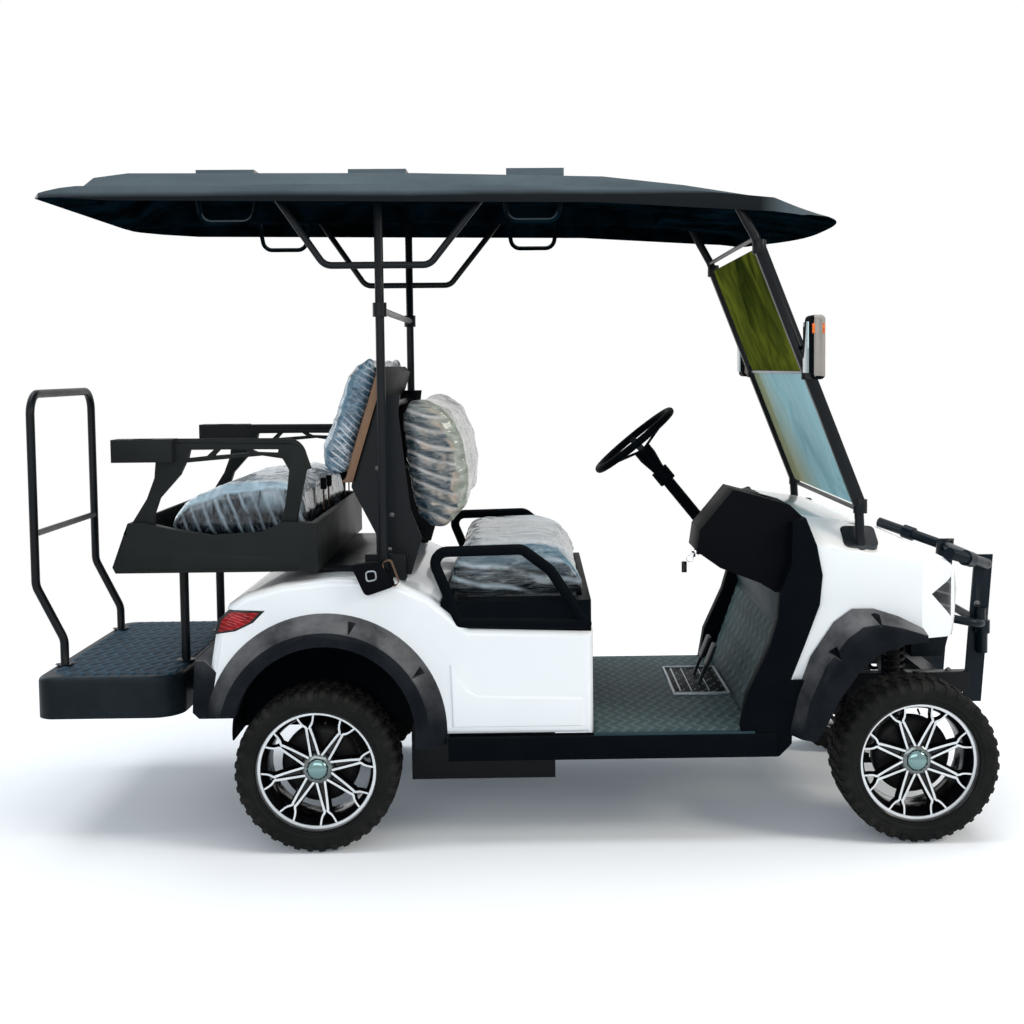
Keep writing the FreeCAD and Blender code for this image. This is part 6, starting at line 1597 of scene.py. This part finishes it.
@dataclass
class Panels:
    """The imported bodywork, mouldings and frames with rounded edges and their finishes.

    The bars on the pedal plate are given as their two corners from above.
    """

    rim_bars: tuple[tuple[float, ...], ...] = (
        (0.534, -0.098, 0.734, -0.090), (0.534, 0.324, 0.734, 0.332), (0.534, -0.098, 0.542, 0.332),
        (0.726, -0.098, 0.734, 0.332), (0.560, -0.060, 0.566, 0.294), (0.600, -0.060, 0.604, 0.294),
        (0.664, -0.060, 0.668, 0.294))

    @staticmethod
    def roof_look(middle: Vector, normal: Vector) -> int:
        """Gives 2 for the pads' front ends, painted in warm light, 1 for the upper faces and the rim, painted
        lit, and 0 below, painted in shade.
        """
        if middle.z > 2.115 and normal.x > 0.7:
            return 2
        inward = middle.z < 2.09 and min(normal.y * middle.y, normal.x * (middle.x + 0.1)) < -0.08
        rim = normal.z > -0.12 and middle.z > 2.03
        nose = normal.z > -0.3 and middle.x > 0.78
        return int(normal.z > 0.15 or (not inward and (rim or nose)))

    @staticmethod
    def roof_shape(work: bmesh.types.BMesh) -> None:
        """Rounds the canopy's front corners as seen from above."""
        for axis, places in ((Vector((0, 1, 0)), [k * 0.065 for k in range(-8, 9)]),
                             (Vector((1, 0, 0)), [0.80, 0.85, 0.90, 0.95, 1.00, 1.045])):
            for place in places:
                ahead = [f for f in work.faces if max(v.co.x for v in f.verts) > 0.79]
                parts = list({e for f in ahead for e in f.edges}) + list({v for f in ahead for v in f.verts})
                bmesh.ops.bisect_plane(work, geom=parts + ahead, dist=1e-6, plane_co=axis * place,
                                       plane_no=axis)
        for vertex in work.verts:
            x, u = vertex.co.x, min(1.0, abs(vertex.co.y) / 0.585)
            if x > 0.80:
                vertex.co.x = 0.80 + (x - 0.80) * (0.285 - 0.175 * u ** 3) / 0.285

    @staticmethod
    def pedal_look(middle: Vector, normal: Vector) -> int:
        """Gives 1 for the pedals' plate and 0 for the pedals."""
        return int(middle.z < 0.380)

    def build(self) -> None:
        """Dresses each node."""
        for node, width in (("rear_body", 0.006), ("cowl", 0.006)):
            softened(node, Kit.paint, width, 3)
        for node, width in (("flares", 0.004), ("front_bumper", 0.005), ("rear_bumper", 0.005)):
            softened(node, Kit.flare, width, 3)
        looks = {"dash": Kit.dash, "rear_seat_box": Kit.box, "footrest_deck": Kit.deck, "armrests": Kit.box,
                 "floor_pan": Kit.pan}
        for node, width in (("dash", 0.005), ("leg_shields", 0.004), ("sills", 0.003),
                            ("rear_seat_box", 0.005), ("armrests", 0.004), ("footrest_deck", 0.006),
                            ("seat_surround", 0.003), ("wheel_liners", 0.0), ("floor_pan", 0.002)):
            softened(node, looks.get(node, Kit.grain), width)
        # The canopy in painted light: lit upper faces and rim, shaded underside, warm-lit pad ends.
        softened("canopy", [Kit.canopy, Kit.slate, Kit.lit_pad_end], 0.005, 3,
                 choose=self.roof_look, shape=self.roof_shape)
        softened("backrest_board", [Kit.board, Kit.dash], 0.003,
                 choose=lambda middle, normal: int(normal.x > 0.5))
        softened("front_guard", Kit.guard, 0.0012, 1)
        for node in ("chassis", "battery_tray", "backrest_frame", "seat_posts", "grab_bar",
                     "canopy_rear_frame"):
            softened(node, Kit.steel, 0.0012, 1)
        for node in ("front_axle", "rear_axle", "springs"):
            softened(node, Kit.axle, 0.0015, 1)
        softened("battery", Kit.battery, 0.004)
        softened("steering_column", Kit.grain, 0.002)
        softened("pedals", [Kit.deck, Kit.dash], 0.002, choose=self.pedal_look)
        rim = Skin()
        for x_low, y_low, x_high, y_high in self.rim_bars:
            rim.block((x_low, y_low, 0.366), (x_high, y_high, 0.3745))
        rim.show("pedal_plate_rim", Kit.zinc, Slot.PEDAL_STEEL, 0.001)
        for node in ("tie_rod", "knuckle_right", "knuckle_left"):
            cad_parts[node].data.materials.clear()
            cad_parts[node].data.materials.append(Kit.axle.material())


@dataclass
class Helm:
    """The steering wheel."""

    def build(self) -> None:
        """Dresses the wheel."""
        softened("steering_wheel", Kit.grain, 0.002, 2, Body.STEERING_WHEEL)


@dataclass
class Studio:
    """A plain pale floor, soft lamps and a camera at the photograph's angle."""

    eye: Point = (0.0468, -4.8149, 1.5241)
    yaw: float = 1.149
    pitch: float = 3.698
    roll: float = -0.524
    lens: float = 47.72
    shift: Flat = (-0.0469, -0.0557)
    lift: float = 0.08
    aim: Point = (0.0, 0.0, 0.9)
    side: float = 40.0
    shown_half: Flat = (2.7, 2.1)

    def camera(self) -> None:
        """Makes the camera."""
        yaw, pitch, roll = (math.radians(a) for a in (self.yaw, self.pitch, self.roll))
        ahead = Vector((math.sin(yaw) * math.cos(pitch), math.cos(yaw) * math.cos(pitch), -math.sin(pitch)))
        right = Vector((math.cos(yaw), -math.sin(yaw), 0.0))
        up = right.cross(ahead)
        right, up = right * math.cos(roll) + up * math.sin(roll), up * math.cos(roll) - right * math.sin(roll)
        data = bpy.data.cameras.new("view")
        data.lens = self.lens
        data.sensor_width = 36.0
        data.shift_x, data.shift_y = self.shift
        data.clip_end = 200.0
        eye = bpy.data.objects.new("view", data)
        turned = [(right[k], up[k], -ahead[k], self.eye[k]) for k in range(3)]
        eye.matrix_world = Matrix(turned + [(0, 0, 0, 1)])
        bpy.context.scene.collection.objects.link(eye)
        bpy.context.scene.camera = eye

    def seen(self, shader: Shader) -> Wire:
        """Gives 1 for rays of the camera, of gloss and of glass, and 0 for the rest."""
        rays = shader.node("ShaderNodeLightPath", out="Is Camera Ray")
        owner = rays.socket.node
        gloss = Wire(shader, owner.outputs["Is Glossy Ray"])
        return rays.highest(gloss).highest(Wire(shader, owner.outputs["Is Transmission Ray"]))

    def backdrop(self) -> None:
        """Makes the floor, plain to the object and white to the camera, with the object's shadow on it."""
        shader = Shader(bpy.data.materials.new("studio_floor"))
        x, y, _ = shader.axes()
        along, across = self.shown_half
        reach = (x * x) * (1 / along ** 2) + (y * y) * (1 / across ** 2)
        plain = shader.node("ShaderNodeBsdfPrincipled", None,
                            {"Base Color": (0.80, 0.80, 0.81), "Roughness": 0.8})
        near = shader.node("ShaderNodeBsdfPrincipled", None,
                           {"Base Color": (0.97, 0.97, 0.97), "Roughness": 1.0, "Specular IOR Level": 0.0,
                            "Emission Color": (0.70, 0.86, 1.0), "Emission Strength": self.lift})
        far = shader.node("ShaderNodeEmission", None, {"Color": (1.0, 1.0, 1.0), "Strength": 1.0})
        shown = shader.node("ShaderNodeMixShader", None, {0: reach.within(0.9, 2.6), 1: near, 2: far})
        shader.end(shader.node("ShaderNodeMixShader", None, {0: self.seen(shader), 1: plain, 2: shown}))
        side = self.side
        floor = Skin().rows([[(x, y, 0.0) for x in (-side, side)] for y in (-side, side)])
        mesh = floor.mesh("floor")
        mesh.materials.append(shader.owner)
        piece = bpy.data.objects.new("floor", mesh)
        bpy.context.scene.collection.objects.link(piece)

    def lamp(self, name: str, place: Point, size: Flat, power: float, colour: Colour) -> None:
        """Adds a soft box that looks at the cart.

        Args:
            name: Its name.
            place: Where it stands.
            size: Its two sides.
            power: Its strength in watts.
            colour: Its colour.
        """
        data = bpy.data.lights.new(name, "AREA")
        data.shape = "RECTANGLE"
        data.size, data.size_y = size
        data.energy = power
        data.color = colour
        lamp = bpy.data.objects.new(name, data)
        lamp.location = place
        lamp.rotation_mode = "QUATERNION"
        lamp.rotation_quaternion = (Vector(self.aim) - Vector(place)).to_track_quat("-Z", "Y")
        bpy.context.scene.collection.objects.link(lamp)

    def build(self) -> None:
        """Makes the whole studio."""
        self.camera()
        self.backdrop()
        self.lamp("sky", (0.0, 0.2, 5.8), (7.0, 4.5), 315.0, (0.94, 0.97, 1.0))
        self.lamp("fill", (-1.0, -7.0, 3.0), (7.0, 3.0), 135.0, (0.94, 0.98, 1.0))
        self.lamp("sun", (6.5, -3.5, 4.2), (2.0, 2.0), 230.0, (1.0, 0.92, 0.82))
        self.lamp("back", (-5.5, 3.0, 3.2), (3.0, 3.0), 90.0, (0.90, 0.96, 1.0))
        world = bpy.data.worlds.new("sky")
        bpy.context.scene.world = world
        shader = Shader(world)
        tone = shader.mix(self.seen(shader), (0.40, 0.43, 0.47), (1.0, 1.0, 1.0))
        shader.end(shader.node("ShaderNodeBackground", None, {"Color": tone, "Strength": 1.0}),
                   "ShaderNodeOutputWorld")
        bpy.context.scene.view_settings.view_transform = "Standard"


def main() -> None:
    """Builds every piece of the cart and its studio."""
    logging.basicConfig(level=logging.INFO, format="%(name)s %(message)s")
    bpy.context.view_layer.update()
    Studio().build()
    Panels().build()
    for end in ("front", "rear"):
        for side in SIDES:
            Wheel(end, side).build()
    for part in (Seats(), Belts(), Ignition(), Coils(), Mats(), Fasteners(), Lamps(), Windscreen(), Mirrors(),
                 Helm()):
        part.build()
        log.info("%s built", type(part).__name__)


if __name__ == "__main__":
    main()
